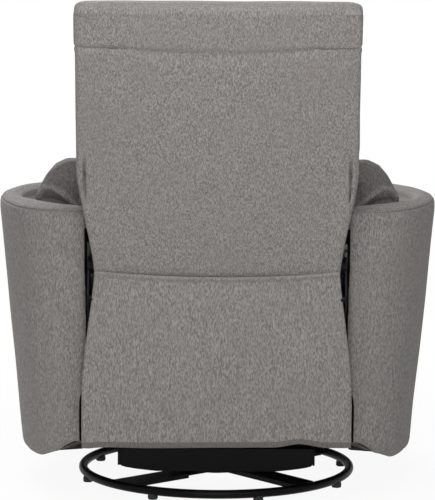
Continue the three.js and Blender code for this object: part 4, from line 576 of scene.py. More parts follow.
def swelled(piece, seams, pressure, cap):
    """Cloth simulation under pressure, with the seams held and no point moving further than cap."""
    rest = points_of(piece)
    held = piece.vertex_groups.new(name="held")
    near = [int(i) for i in np.nonzero(seam_distance(piece, seams) < SEAM_WIDTH)[0]]
    held.add(near, 1.0, "REPLACE")
    cloth = piece.modifiers.new("fill", "CLOTH")
    set_values(
        cloth.settings, quality=4, mass=0.3, tension_stiffness=12, compression_stiffness=12,
        shear_stiffness=6, bending_stiffness=0.8, use_pressure=True, uniform_pressure_force=pressure,
        shrink_min=-SWELL_GROWTH, vertex_group_mass="held",
    )
    cloth.settings.effector_weights.gravity = 0
    set_values(cloth.collision_settings, use_self_collision=False, use_collision=False)
    for step in range(1, SWELL_FRAMES + 1):
        scene.frame_set(step)
    graph = bpy.context.evaluated_depsgraph_get()
    moved = read(piece.evaluated_get(graph).to_mesh().vertices, "co")
    piece.evaluated_get(graph).to_mesh_clear()
    piece.modifiers.remove(cloth)
    piece.vertex_groups.clear()
    scene.frame_set(1)
    travel = moved - rest
    far = np.linalg.norm(travel, axis=1)
    limit = np.minimum(1.0, cap / np.maximum(far, cap / 100))
    set_points(piece, rest + travel * limit[:, None])


def pressed(piece, seams, depth, width, pucker=0.35, seed=1):
    """Presses lines with small puckers into a surface, or raises rolls where depth is negative."""
    distance = seam_distance(piece, seams)
    points = points_of(piece)
    ripple = 1 + pucker * wave_field(points, PUCKER_SCALE, seed)
    press = depth * np.exp(-(distance / width) ** 2) * ripple
    set_points(piece, points - normals_of(piece) * press[:, None])


def tube(name, path, radius, material, closed=True, sides=8):
    """A round tube along a path, such as a welt or the base ring."""
    points = [np.asarray(p, float) for p in path]
    count = len(points)
    turns = [2 * math.pi * k / sides for k in range(sides)]
    rings = []
    for i, point in enumerate(points):
        ahead = points[(i + 1) % count] if closed or i + 1 < count else point
        behind = points[i - 1] if closed or i > 0 else point
        along = ahead - behind
        along = along / max(np.linalg.norm(along), 1e-9)
        side = np.cross(along, (0, 0, 1))
        if np.linalg.norm(side) < 0.2:
            side = np.cross(along, (1, 0, 0))
        side = side / np.linalg.norm(side)
        over = np.cross(side, along)
        rings.append([point + radius * (math.cos(t) * side + math.sin(t) * over) for t in turns])
    if not closed:
        return lofted(name, rings, material)
    flat = [p for ring in rings for p in ring]
    return outward(piece_from(name, flat, side_faces(count, sides, closed=True), material))


def fitted(piece, body, slot, *nodes):
    """Sets a piece on its body and lets it stand for its solids."""
    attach(piece, body)
    if nodes:
        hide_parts(*nodes)


def soft(piece, body, node):
    """Sets a stuffed piece on its body and hides the one solid it stands for."""
    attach(piece, body)
    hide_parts(node)


def welted(name, path, radius, body, closed=True):
    """A welt along a seam."""
    fitted(tube(name, path, radius, welt_cloth, closed=closed), body, "upholstery")


def rounded_rectangle(half_x, half_y, power, count):
    turns = [2 * math.pi * (i + 0.5) / count for i in range(count)]
    pairs = [(math.cos(turn), math.sin(turn)) for turn in turns]
    power = 2 / power
    return [
        (half_x * math.copysign(abs(x) ** power, x), half_y * math.copysign(abs(y) ** power, y))
        for x, y in pairs
    ]


# Places on the back: along it from the recline axis and inwards from its rear face

ALONG_BACK = np.array([0.0, math.sin(BACK_TILT), math.cos(BACK_TILT)])
INTO_BACK = np.array([0.0, -math.cos(BACK_TILT), math.sin(BACK_TILT)])
RECLINE_AXIS = np.array([0.0, RECLINE_Y, RECLINE_Z])


def on_back(x, along, depth):
    return RECLINE_AXIS + np.array([x, 0, 0]) + ALONG_BACK * along + INTO_BACK * (depth - BACK_ROLL_RADIUS)


def on_roll(x, angle, depth):
    turn = -BACK_TILT - angle
    radius = BACK_ROLL_RADIUS - depth
    return np.array([x, RECLINE_Y + radius * math.cos(turn), RECLINE_Z + radius * math.sin(turn)])


def level_along(z, depth):
    return (z - RECLINE_Z - (depth - BACK_ROLL_RADIUS) * INTO_BACK[2]) / ALONG_BACK[2]


CREASE = level_along(CREASE_Z, 0)
BACK_TOP = level_along(TOP_Z - HEAD_CORNER_ROUND, HEAD_CORNER_ROUND)


def back_half_width(along):
    taper = smooth_step(along, 0, BACK_TAPER_END)
    lean = min(1, max(0, along) / BACK_TAPER_END)
    return mix(BACK_SEAM_HALF_WIDTH, BACK_HALF_WIDTH, min(1, 0.5 * taper + 0.5 * lean))


# The outside back: one cloth from its lower roll over the crease to the top of the head section

EDGE_ROUND = 0.011
EDGE_STEPS = 6
COVER_COLUMNS = 180
FOLD_COLUMNS = 9
FRONT_COLUMNS = 24
COVER_ROWS = 110
ROLL_STEPS = 12
TOP_STEPS = 10
TOP_DEPTH_SHARE = 0.6
CREASE_RISE = 0.0045
CREASE_SAG = 0.0125
CREASE_EDGE_DENT = 0.0028
CREASE_MIDDLE_DENT = 0.0034
CREASE_UPPER_WIDTH = 0.0032
CREASE_SOFT_WIDTH = 0.0075
CREASE_LOWER_WIDTH = 0.005
CREASE_BAND_WIDTH = 0.017
CREASE_NICK = 0.0026
SLIT_X = 0.205
SLIT_LENGTH = 0.009
SLIT_DEPTH = 0.0085
SLIT_WIDTH = 0.0024
SIDE_FOLD_X = 0.260
SIDE_FOLD_START = 0.125
SIDE_FOLD_END = 0.255
SIDE_FOLD_DEPTH = 0.0085
SIDE_FOLD_WIDTH = 0.0024
SIDE_FOLD_FADE_IN = 0.04
SIDE_FOLD_FADE_OUT = 0.05
GATHER_ALONG = 0.2025
GATHER_REACH = 0.008
GATHER_DEPTH = 0.0055
GATHER_PITCH = 0.0045
HEAD_START = CREASE - 0.012
HEAD_FULL = CREASE + 0.004
BEND_START = CREASE - 0.030
BEND_END = CREASE - 0.002

# Stretches with finer rings: the middle, the reach and the rings to each side
FINE_STRETCHES = ((CREASE - 0.004, 0.026, 26), (GATHER_ALONG, 0.014, 12))


def crease_line(x):
    """The crease's place along the back: level outside the slits, sagging between them."""
    across = min(1.0, abs(x) / SLIT_X)
    return CREASE + CREASE_RISE - CREASE_SAG * (1 - across ** 2)


def cover_dent(x, along):
    """How far the rear face is pressed in at a place."""
    middle = max(0.0, 1 - (x / SLIT_X) ** 2)
    above = along - crease_line(x)
    if above > 0:
        width = mix(CREASE_UPPER_WIDTH, CREASE_SOFT_WIDTH, middle)
    else:
        width = mix(CREASE_LOWER_WIDTH, CREASE_BAND_WIDTH, middle)
    dent = mix(CREASE_EDGE_DENT, CREASE_MIDDLE_DENT, middle) * math.exp(-(above / width) ** 2)
    slit = math.exp(-((abs(x) - SLIT_X) / SLIT_LENGTH) ** 2)
    dent += SLIT_DEPTH * slit * math.exp(-(above / SLIT_WIDTH) ** 2)
    from_fold = (abs(x) - SIDE_FOLD_X) / SIDE_FOLD_WIDTH
    if abs(from_fold) < 4:
        reach = smooth_step(along, SIDE_FOLD_START, SIDE_FOLD_START + SIDE_FOLD_FADE_IN)
        reach *= 1 - smooth_step(along, SIDE_FOLD_END - SIDE_FOLD_FADE_OUT, SIDE_FOLD_END)
        dent += SIDE_FOLD_DEPTH * reach * math.exp(-from_fold ** 2)
        pleat = 0.5 + 0.5 * math.cos(2 * math.pi * (along - GATHER_ALONG) / GATHER_PITCH)
        near = math.exp(-((along - GATHER_ALONG) / GATHER_REACH) ** 2 - (from_fold / 1.5) ** 2)
        dent += GATHER_DEPTH * pleat * near
    return dent


def cover_levels():
    """Places along the back for the cover's rings, closer together at the crease and the gathers."""
    levels = []
    for i in range(COVER_ROWS + 1):
        along = BACK_TOP * i / COVER_ROWS
        if all(abs(along - middle) > reach for middle, reach, _ in FINE_STRETCHES):
            levels.append(along)
    for middle, reach, count in FINE_STRETCHES:
        levels.extend(middle + reach * i / count for i in range(-count, count + 1))
    return sorted(levels)


def column_shares():
    """Places across the rear face, closer together at the two upright folds."""
    fold = SIDE_FOLD_X / (BACK_HALF_WIDTH - EDGE_ROUND)
    reach = SIDE_FOLD_WIDTH * 2 / (BACK_HALF_WIDTH - EDGE_ROUND)
    across = [2 * share - 1 for share in shares(COVER_COLUMNS)]
    across = [share for share in across if abs(abs(share) - fold) > reach]
    for sign in (1, -1):
        across += [sign * (fold + reach * i / FOLD_COLUMNS) for i in range(-FOLD_COLUMNS, FOLD_COLUMNS + 1)]
    return sorted(share for share in set(across) if abs(share) <= 1)


COLUMN_SHARES = column_shares()


def cover_ring(half, place, along, crown):
    """A closed line round the cover: the rear face, the round edges and the flat front."""
    corner = []
    for i in range(1, EDGE_STEPS + 1):
        turn = math.pi / 2 * i / EDGE_STEPS
        x = half - EDGE_ROUND + EDGE_ROUND * math.sin(turn)
        corner.append((x, crown + EDGE_ROUND * (1 - math.cos(turn))))
    line = []
    for share in COLUMN_SHARES:
        x = share * (half - EDGE_ROUND)
        line.append(place(x, cover_dent(x, along) + crown * share ** 2))
    line += [place(x, depth) for x, depth in corner]
    line += [place(half * (1 - 2 * i / FRONT_COLUMNS), BACK_PANEL_DEPTH) for i in range(FRONT_COLUMNS + 1)]
    line += [place(-x, depth) for x, depth in reversed(corner)]
    return line


def make_outside_cover():
    rings = []
    for i in range(ROLL_STEPS, 0, -1):
        angle = BACK_ROLL_ANGLE * i / ROLL_STEPS
        rings.append(cover_ring(BACK_SEAM_HALF_WIDTH, lambda x, d: on_roll(x, angle, d), -1.0, 0))
    corner = HEAD_CORNER_ROUND
    for along in cover_levels():
        half = back_half_width(along)
        half = mix(half, HEAD_HALF_WIDTH, smooth_step(along, HEAD_START, HEAD_FULL))
        half -= CREASE_NICK * math.exp(-((along - CREASE - CREASE_RISE) / CREASE_UPPER_WIDTH) ** 2)
        up = max(0.0, along - (BACK_TOP - corner * 0.2)) / corner
        half -= corner * (1 - math.sqrt(max(0.0, 1 - up * up)))
        crown = BACK_CROWN * smooth_step(along, 0, BACK_TAPER_END)
        rings.append(cover_ring(half, lambda x, d: on_back(x, along, d), along, crown))
    for i in range(1, TOP_STEPS + 1):
        turn = (math.pi / 2 - BACK_TILT) * i / TOP_STEPS
        half = HEAD_HALF_WIDTH - corner * (1 - math.sqrt(max(0.0, 1 - (0.2 + 0.75 * i / TOP_STEPS) ** 2)))

        def place(x, depth):
            under = depth * TOP_DEPTH_SHARE
            return on_back(x, BACK_TOP + corner * math.sin(turn) - under * math.sin(turn),
                           corner * (1 - math.cos(turn)) + under * math.cos(turn))
        rings.append(cover_ring(half, place, 1.0, BACK_CROWN))
    cover = lofted("outside_cover", rings, chenille)
    ruffled(cover, height=0.0012, scale=9.0, seed=3)
    start, end = tuple(on_back(0, BEND_START, 0)), tuple(on_back(0, BEND_END, 0))
    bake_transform(cover)
    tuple(start)
    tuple(end)
    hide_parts("outside_back")


make_outside_cover()


# The rear skirt: a hanging cloth with a turned hem

SKIRT_COLUMNS = 110
SKIRT_ROWS = 130
SKIRT_FOLD = 0.0016
SKIRT_BELLY = 0.004
SKIRT_EDGE = 0.006

# Each wave of the hem: its middle across, its width and its height
SKIRT_WAVES = (
    (0.259, 0.022, -0.0030), (0.15, 0.05, -0.0010), (-0.165, 0.034, 0.0085), (-0.09, 0.04, 0.0015),
)


def skirt_foot(x):
    """How much the hem stands above its lowest line at a place across."""
    return sum(height * math.exp(-((x - middle) / width) ** 2) for middle, width, height in SKIRT_WAVES)


def skirt_ring(down):
    """A level line round the cloth: along its front face and back along its rear face."""
    drop = SKIRT_TOP_Z - SKIRT_BOTTOM_Z
    half = mix(SKIRT_TOP_HALF_WIDTH, SKIRT_HALF_WIDTH, smooth_step(down, -0.2, 0.75))
    bow = SKIRT_BOW * (1 - down) ** 1.5
    hem = max(0.0, down * drop - (drop - SKIRT_HEM))
    bead = SKIRT_BEAD * math.exp(-((down * drop - SKIRT_BEAD) / SKIRT_BEAD) ** 2)
    rear = []
    front = []
    for share in shares(SKIRT_COLUMNS):
        across = 2 * share - 1
        foot = skirt_foot(half * across) * down ** 4
        z = mix(SKIRT_TOP_Z, SKIRT_BOTTOM_Z, down) - bow * (1 - across ** 2) + foot
        fold = SKIRT_FOLD * (0.3 + down) * (1 - math.cos(across * math.pi * 2.6 + 0.4))
        belly = SKIRT_BELLY * math.sin(math.pi * min(1, down * 1.1)) * (1 - across ** 4)
        y = SKIRT_Y + fold + belly - SKIRT_EDGE * abs(across) ** 14 - 0.8 * hem
        rear.append(np.array([half * across, y + SKIRT_CLOTH + bead, z]))
        front.insert(0, np.array([half * across, y, z]))
    return front + rear


def make_skirt():
    rings = [skirt_ring(down) for down in shares(SKIRT_ROWS)]
    cloth = lofted("rear_skirt_cloth", rings, chenille, strip_ends=True)
    # Painted shade: the hem's downward-facing faces take the darker copy of the chenille.
    at_hem = middles_of(cloth)[:, 2] < SKIRT_BOTTOM_Z + 2 * SKIRT_HEM
    faced(cloth, at_hem & (facings_of(cloth)[:, 2] < -0.45), shaded_chenille)
    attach(cloth, "seat")
    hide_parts("rear_skirt")
    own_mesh(cloth)


make_skirt()


# The tub arms

ARM_OUTER_SHARES = (
    (-0.07, 0.013), (-0.03, 0.001), (0.16, 0.006), (0.36, 0.024), (0.64, 0.088), (0.86, 0.224), (0.97, 0.37),
    (1, 0.5), (0.93, 0.686), (0.76, 0.844), (0.54, 0.943), (0.32, 0.99), (0.12, 1), (0.01, 0.988),
)
ARM_INNER_SHARES = (
    (-0.055, 0.03), (-0.03, 0.05), (0.03, 0.09), (0.17, 0.125), (0.36, 0.178), (0.55, 0.26), (0.67, 0.35),
    (0.72, 0.47), (0.66, 0.62), (0.48, 0.755), (0.26, 0.86), (0.09, 0.925), (0.02, 0.95), (-0.01, 0.968),
)
ARM_STATIONS = 130
ARM_WELT_DROP = 0.003
ARM_WELT_STEP = 0.003
ARM_SHADE_CLOTH_REAR_Y = 0.17
ARM_SHADE_CLOTH_RIM_DROP = 0.04


def arm_line(places):
    return [
        np.array([mix(ARM_INNER_X, ARM_HALF_WIDTH, out), mix(ARM_REAR_Y, ARM_FRONT_Y, ahead), 0.0])
        for out, ahead in places
    ]


def curve_point(points, share):
    """A point on a smooth curve through the given points, spaced by their distances."""
    last = len(points) - 1
    place = min(max(share, 0.0), 1.0) * last
    index = min(int(place), last - 1)
    weight = place - index
    b, c = points[index], points[index + 1]
    a = points[index - 1] if index > 0 else 2 * b - c
    d = points[index + 2] if index + 2 <= last else 2 * c - b
    t0 = np.linalg.norm(b - a) ** 0.5
    t1 = np.linalg.norm(c - b) ** 0.5
    t2 = np.linalg.norm(d - c) ** 0.5
    start = ((b - a) / t0 - (c - a) / (t0 + t1) + (c - b) / t1) * t1
    end = ((c - b) / t1 - (d - b) / (t1 + t2) + (d - c) / t2) * t1
    square, cube = weight ** 2, weight ** 3
    return (b + start * weight + (-3 * b + 3 * c - 2 * start - end) * square
            + (2 * b - 2 * c + start + end) * cube)


def arm_rim_z(y):
    reach = (ARM_REAR_Y - y) / (ARM_REAR_Y - ARM_FRONT_Y)
    return mix(ARM_RIM_REAR_Z, ARM_RIM_FRONT_Z, max(0.0, reach) ** 1.6)


def arm_foot_z(outer):
    """The cloth's lower edge: it rises to the rear, and towards the chair's middle at its end."""
    x, y, _ = outer
    rise = max(0.0, (y - (ARM_REAR_Y - ARM_REAR_RISE_LENGTH)) / ARM_REAR_RISE_LENGTH)
    behind = smooth_step(y, ARM_FOOT_TURN_LOW_Y, ARM_FOOT_TURN_HIGH_Y)
    outside = smooth_step(x - ARM_INNER_X, ARM_END_SETBACK * 0.3, ARM_END_SETBACK * 1.8)
    turned = behind * mix(ARM_FOOT_INNER_RISE, -ARM_FOOT_OUTER_FALL, outside)
    return ARM_BOTTOM_Z + ARM_REAR_RISE * rise ** 1.3 + turned


def arm_stations():
    outer_line, inner_line = arm_line(ARM_OUTER_SHARES), arm_line(ARM_INNER_SHARES)
    found = []
    for share in shares(ARM_STATIONS):
        outer = curve_point(outer_line, share)
        step = 0.5 / ARM_STATIONS
        tangent = curve_point(outer_line, share + step) - curve_point(outer_line, share - step)
        tangent = tangent / np.linalg.norm(tangent)
        found.append({
            "outer": outer, "inward": np.array([tangent[1], -tangent[0], 0.0]),
            "inner_rim": curve_point(inner_line, share),
            "low_y": mix(ARM_REAR_Y - ARM_END_SETBACK, ARM_FRONT_Y + 2 * ARM_END_SETBACK, share),
            "rim": arm_rim_z(outer[1]), "foot": arm_foot_z(outer),
        })
    return found


def arm_wall(station, z, inset, scoop):
    """The outside's place at a station and a height."""
    outer, inward = station["outer"], station["inward"]
    rim, foot = station["rim"], station["foot"]
    taper = ARM_TAPER * (1 - min(1, (z - foot) / (rim - foot)))
    shoulder = ARM_SHOULDER * max(0.0, 1 - (rim - z) / ARM_SHOULDER_DROP) ** 2
    lean = (taper + shoulder + inset) * mix(1, ARM_REAR_LEAN_SHARE, max(0.0, -inward[1]))
    least_x = ARM_INNER_X + ARM_END_ROUND
    if outer[1] > 0:
        returned = smooth_step(z, ARM_RETURN_LOW_Z, ARM_RETURN_HIGH_Z)
        least_x = ARM_INNER_X + mix(ARM_END_ROUND, -ARM_REAR_RETURN, returned)
    from_end = smooth_step(outer[0], ARM_INNER_X - ARM_REAR_RETURN, ARM_INNER_X + ARM_END_SETBACK)
    wall = np.array([outer[0] + inward[0] * lean * from_end, outer[1] + inward[1] * lean, z])
    wall[0] = max(wall[0], mix(least_x, min(outer[0], least_x), scoop))
    return wall


def arm_ring(stations, height, inset, pinch_by, fold):
    """One level line round an arm: along the outside to the front, then back along the inside."""
    outside = []
    inside = []
    for station in stations:
        z = height(station)
        up = (z - ARM_SCOOP_Z) / (station["rim"] - ARM_RIM_ROUND - ARM_SCOOP_Z)
        scoop = min(1.0, max(0.0, up)) ** 0.8
        wall = arm_wall(station, z, inset, scoop)
        rim_x, rim_y, _ = station["inner_rim"]
        lining_place = np.array([mix(ARM_INNER_X, rim_x, scoop), mix(station["low_y"], rim_y, scoop), z])
        across = wall - lining_place
        pinch = min(0.4, pinch_by / max(np.linalg.norm(across), ARM_RIM_ROUND)) + fold
        outside.append(wall - across * fold)
        inside.insert(0, lining_place + across * pinch)
    return outside + inside


ARM_FOOT_STEPS = 8
ARM_FACE_STEPS = 26
ARM_SCOOP_STEPS = 34
ARM_RIM_STEPS = 6
ARM_FOLD_SHARES = (0.08, 0.18, 0.28, 0.36)


def arm_levels():
    """Each level's height, inset, pinch and fold, from the foot to the crown of the rim."""
    levels = []
    for i in range(ARM_FOOT_STEPS + 1):
        turn = math.pi / 2 * i / ARM_FOOT_STEPS
        rise = ARM_BOTTOM_ROUND * (1 - math.cos(turn))
        levels.append((lambda s, r=rise: s["foot"] + r, ARM_BOTTOM_ROUND * (1 - math.sin(turn)), 0.0, 0.0))
    for i in range(1, ARM_FACE_STEPS + 1):
        up = i / ARM_FACE_STEPS
        levels.append((lambda s, t=up: mix(s["foot"] + ARM_BOTTOM_ROUND, ARM_SCOOP_Z, t), 0.0, 0.0, 0.0))
    for i in range(1, ARM_SCOOP_STEPS):
        up = i / ARM_SCOOP_STEPS
        levels.append((lambda s, t=up: mix(ARM_SCOOP_Z, s["rim"] - ARM_RIM_ROUND, t), 0.0, 0.0, 0.0))
    for i in range(ARM_RIM_STEPS + 1):
        turn = math.pi / 2 * i / ARM_RIM_STEPS
        inset = ARM_RIM_ROUND * (1 - math.cos(turn))
        drop = ARM_RIM_ROUND * (1 - math.sin(turn))
        levels.append((lambda s, d=drop: s["rim"] - d, inset, inset, 0.0))
    for share in ARM_FOLD_SHARES:
        crown = ARM_RIM_CROWN * math.sin(math.pi / 2 * share / ARM_FOLD_SHARES[-1])
        levels.append((lambda s, c=crown: s["rim"] + c, ARM_RIM_ROUND, ARM_RIM_ROUND, share))
    return levels


def make_arm(side, sign):
    mirror = np.array([sign, 1, 1])
    stations = arm_stations()
    rings = [[p * mirror for p in arm_ring(stations, *level)] for level in arm_levels()]
    arm = lofted(f"arm_cover_{side}", rings, chenille, strip_ends=True)
    ruffled(arm, height=0.0014, scale=8.0, seed=5 if sign > 0 else 8)
    seam = [arm_wall(s, s["rim"] - ARM_WELT_DROP, ARM_WELT_INSET, 1.0) * mirror for s in stations]
    seam = onto_surface(arm, dense(seam, ARM_WELT_STEP, closed=False))
    pressed(arm, [seam], depth=0.0026, width=0.0036, pucker=0.2)
    seam = onto_surface(arm, seam)
    # Painted shade: the inner faces behind, below the rim, in the gap between the arm and the back, get
    # black cloth; the low inner faces beside the seat get the same black cloth.
    x, y, z = middles_of(arm).T
    behind = (facings_of(arm)[:, 0] * sign < -0.6) & (y > ARM_SHADE_CLOTH_REAR_Y)
    behind &= z < ARM_RIM_REAR_Z - ARM_SHADE_CLOTH_RIM_DROP
    beside_seat = (np.abs(x) < ARM_INNER_X + ARM_BLACK_CLOTH_REACH) & (y < ARM_SHADE_CLOTH_REAR_Y)
    beside_seat &= (z < ARM_SCOOP_Z + ARM_BLACK_CLOTH_REACH) & (y > ARM_BLACK_CLOTH_FRONT_Y)
    faced(arm, behind | beside_seat, lining)
    soft(arm, "chair_frame", f"arm_{side}")
    welted(f"arm_welt_{side}", seam, ARM_WELT_RADIUS, "chair_frame", closed=False)


for side, sign in SIDES:
    make_arm(side, sign)


# The seat cushion

SEAT_VOXEL = 0.0065
SEAT_REACH_X = 0.2660
SEAT_SEAM_INSET = 0.004
SEAT_UPPER_SEAM_DROP = 0.030
SEAT_LOWER_SEAM_RISE = 0.022
SEAT_CORNER_POWER = 9
SEAT_SEAM_POINTS = 220


def seat_seam(low, high, z):
    """A level seam round the seat cushion, from its box's corners."""
    middle = (low + high) / 2
    half = (high - low) / 2
    outline = rounded_rectangle(
        half.x - SEAT_SEAM_INSET, half.y - SEAT_SEAM_INSET, SEAT_CORNER_POWER, SEAT_SEAM_POINTS)
    return dense([np.array([middle.x + x, middle.y + y, z]) for x, y in outline], SEAM_STEP, closed=True)


def make_seat():
    low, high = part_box("seat_cushion")
    seat = even_copy_of("seat_cushion", "seat_pad", chenille, SEAT_VOXEL)
    upper = onto_surface(seat, seat_seam(low, high, high.z - SEAT_UPPER_SEAM_DROP))
    lower = onto_surface(seat, seat_seam(low, high, low.z + SEAT_LOWER_SEAM_RISE))
    swelled(seat, [upper, lower], pressure=4.0, cap=0.010)
    modified(seat, "SUBSURF", levels=1)
    pressed(seat, [upper, lower], depth=0.003, width=0.005)
    ruffled(seat, height=0.0018, scale=12.0, seed=11)
    points = points_of(seat)
    points[:, 0] = np.clip(points[:, 0], -SEAT_REACH_X, SEAT_REACH_X)
    set_points(seat, points)
    # Painted shade: the cushion's rear faces, seen only in the dark gap behind it, get black cloth.
    faced(seat, facings_of(seat)[:, 1] > 0.6, lining)
    soft(seat, "seat", "seat_cushion")
    for label, path in (("upper", upper), ("lower", lower)):
        welted(f"seat_welt_{label}", onto_surface(seat, path), WELT_RADIUS, "seat")


make_seat()


# The back cushion, with side bolsters sewn off by two upright seams

BOLSTER_X = 0.172
BOLSTER_SEAM_START = 0.10
BOLSTER_SEAM_END = CREASE - 0.03
BOLSTER_SEAM_DEPTH = 0.215
BOLSTER_SEAM_STEPS = 20
BACK_SHADE_CLOTH_TOP = 0.118
BACK_SHADE_CLOTH_DEPTH = 0.15


def bolster_seam(pad, sign):
    path = [
        on_back(sign * BOLSTER_X, mix(BOLSTER_SEAM_START, BOLSTER_SEAM_END, share), BOLSTER_SEAM_DEPTH)
        for share in shares(BOLSTER_SEAM_STEPS)
    ]
    return onto_surface(pad, dense(path, SEAM_STEP, closed=False))


def make_back_cushion():
    pad = even_copy_of("back_cushion", "back_pad", chenille, SEAT_VOXEL)
    uprights = [bolster_seam(pad, sign) for _, sign in SIDES]
    swelled(pad, uprights, pressure=3.5, cap=0.009)
    modified(pad, "SUBSURF", levels=1)
    pressed(pad, uprights, depth=0.006, width=0.007)
    ruffled(pad, height=0.0018, scale=11.0, seed=17)
    # Painted shade: the cushion's low faces near the outside cover, seen in the dark gaps at its sides, get
    # black cloth.
    middles = middles_of(pad) - on_back(0, 0, 0)
    low = middles @ ALONG_BACK < BACK_SHADE_CLOTH_TOP
    faced(pad, low & (middles @ INTO_BACK < BACK_SHADE_CLOTH_DEPTH), lining)
    soft(pad, "back", "back_cushion")


make_back_cushion()


# The cloth that closes the back's sides between the outside cover and the cushion

SIDE_CLOTH = 0.0045
SIDE_INSET = 0.0015
SIDE_START = 0.005
SIDE_END = CREASE - 0.032
SIDE_START_DEPTH = 0.014
SIDE_END_DEPTH = 0.090
SIDE_TUCK = 0.0012
SIDE_TUCKS = 3
SIDE_ROWS = 60


def make_back_side(side, sign):
    middle = (SIDE_START_DEPTH + SIDE_END_DEPTH) / 2
    half_depth = (SIDE_END_DEPTH - SIDE_START_DEPTH) / 2
    outline = rounded_rectangle(SIDE_CLOTH / 2, half_depth, 6, 28)
    rings = []
    for i in range(SIDE_ROWS + 1):
        along = mix(SIDE_START, SIDE_END, i / SIDE_ROWS)
        tuck = SIDE_TUCK * math.sin(2 * math.pi * SIDE_TUCKS * i / SIDE_ROWS)
        across = back_half_width(along) - SIDE_INSET - SIDE_CLOTH / 2 - tuck
        rings.append([on_back(sign * (across + x), along, middle + depth) for x, depth in outline])
    fitted(lofted(f"back_side_{side}", rings, chenille), "back", "upholstery")


for side, sign in SIDES:
    make_back_side(side, sign)


# The lumbar cushion: its lines are places (x, z) on its rear face

LUMBAR_ROLL = (
    (0.3665, 0.599), (0.354, 0.6177), (0.336, 0.6197), (0.3155, 0.6094), (0.299, 0.597), (0.287, 0.585),
)
LUMBAR_TUCK = ((0.356, 0.596), (0.338, 0.597), (0.320, 0.591))
LUMBAR_HOLLOW = ((0.283, 0.636), (0.285, 0.616), (0.286, 0.600))

# Each pressed line: its path, depth, width and seed
LUMBAR_LINES = (
    (LUMBAR_TUCK, 0.0045, 0.006, 2), (LUMBAR_HOLLOW, 0.0070, 0.009, 3), (LUMBAR_ROLL, -0.0070, 0.0065, 4),
)
LUMBAR_SEAM_HALF_LENGTH = 0.372
LUMBAR_SEAM_ALONG = 0.150
LUMBAR_SEAM_DEPTH = 0.222
LUMBAR_SEAM_STEPS = 60
LUMBAR_LINE_STEP = 0.003
LUMBAR_SHADE_CLOTH_TOP = 0.578
LUMBAR_ROLL_REACH = 0.009
SMALL_VOXEL = 0.0055


def on_rear_of(piece, path, sign):
    """Places (x, z) on a piece's rear surface, mirrored to its side."""
    tree = surface_tree(piece)
    found = []
    for x, z in path:
        hit = tree.ray_cast(Vector((sign * x, 1.0, z)), Vector((0, -1, 0)))[0]
        if hit is not None:
            found.append(np.array(hit))
    return dense(found, LUMBAR_LINE_STEP, closed=False)


def make_lumbar():
    # Painted shade: the whole pad takes the darker copy of the chenille.
    pad = even_copy_of("lumbar_cushion", "lumbar_pad", shaded_chenille, SMALL_VOXEL)
    reach = LUMBAR_SEAM_HALF_LENGTH
    path = [
        on_back(mix(-reach, reach, share), LUMBAR_SEAM_ALONG, LUMBAR_SEAM_DEPTH)
        for share in shares(LUMBAR_SEAM_STEPS)
    ]
    swelled(pad, [onto_surface(pad, dense(path, SEAM_STEP, closed=False))], pressure=3.0, cap=0.005)
    modified(pad, "SUBSURF", levels=1)
    ruffled(pad, height=0.0025, scale=16.0, seed=23)
    rolls = []
    for _, sign in SIDES:
        lines = [on_rear_of(pad, path, sign) for path, *_ in LUMBAR_LINES]
        for line, (_, depth, width, seed) in zip(lines, LUMBAR_LINES):
            pressed(pad, [line], depth, width, seed=seed)
        rolls.append(lines[-1])
    # Painted shade: the pad's rear faces below the arms' rims get black cloth.
    behind = facings_of(pad)[:, 1] > 0
    faced(pad, behind & (middles_of(pad)[:, 2] < LUMBAR_SHADE_CLOTH_TOP), lining)
    # Painted light: the faces of the two crumpled rolls take the plain, lighter chenille, where the rolls
    # catch the light.
    near = seam_distance(pad, rolls) < LUMBAR_ROLL_REACH
    faced(pad, np.array([all(near[i] for i in face.vertices) for face in pad.data.polygons]), chenille)
    soft(pad, "back", "lumbar_cushion")


make_lumbar()


# The head section's padding, clear of the outside cover and hollowed over its two hinges

HEAD_CLEAR_DEPTH = 0.004
HINGE_X = 0.155
HINGE_POCKET_HALF_WIDTH = 0.020
HINGE_POCKET_TOP = CREASE + 0.030
HINGE_POCKET_DEPTH = 0.010


def make_headrest():
    pad = even_copy_of("headrest", "headrest_pad", chenille, SMALL_VOXEL, smoothing=5)
    points = points_of(pad)
    into = (points - on_back(0, 0, 0)) @ INTO_BACK
    inward_push = np.clip(HEAD_CLEAR_DEPTH - into, 0, None)
    set_points(pad, points + INTO_BACK * inward_push[:, None])
    modified(pad, "SUBSURF", levels=1)
    ruffled(pad, height=0.0014, scale=12.0, seed=29)
    points = points_of(pad)
    along = (points - RECLINE_AXIS) @ ALONG_BACK
    from_hinge = np.abs(np.abs(points[:, 0]) - HINGE_X)
    beside = smooth_step(from_hinge, HINGE_POCKET_HALF_WIDTH, HINGE_POCKET_HALF_WIDTH * 0.6)
    low = smooth_step(along, HINGE_POCKET_TOP, HINGE_POCKET_TOP - HINGE_POCKET_DEPTH)
    set_points(pad, points + ALONG_BACK * (HINGE_POCKET_DEPTH * beside * low)[:, None])
    soft(pad, "head", "headrest")


make_headrest()


# The footrest pad swells on all sides, since no seam is near it

NO_SEAM = [np.array([0, 10.0, 0])]


def make_footrest():
    pad = even_copy_of("footrest_pad", "footrest_cover", chenille, SMALL_VOXEL)
    swelled(pad, [NO_SEAM], pressure=3.0, cap=0.006)
    modified(pad, "SUBSURF", levels=1)
    ruffled(pad, height=0.0015, scale=12.0, seed=31)
    soft(pad, "footrest", "footrest_pad")


make_footrest()


# The release pull: a doubled strap with a finger loop

def make_pull():
    strap = copy_of("release_pull", "release_strap", welt_cloth)
    modified(strap, "BEVEL", width=0.0012, segments=3)
    strap.data.polygons.foreach_set("use_smooth", [True] * len(strap.data.polygons))
    fitted(strap, "pull", "upholstery", "release_pull")


make_pull()


# The black cloth under the arms

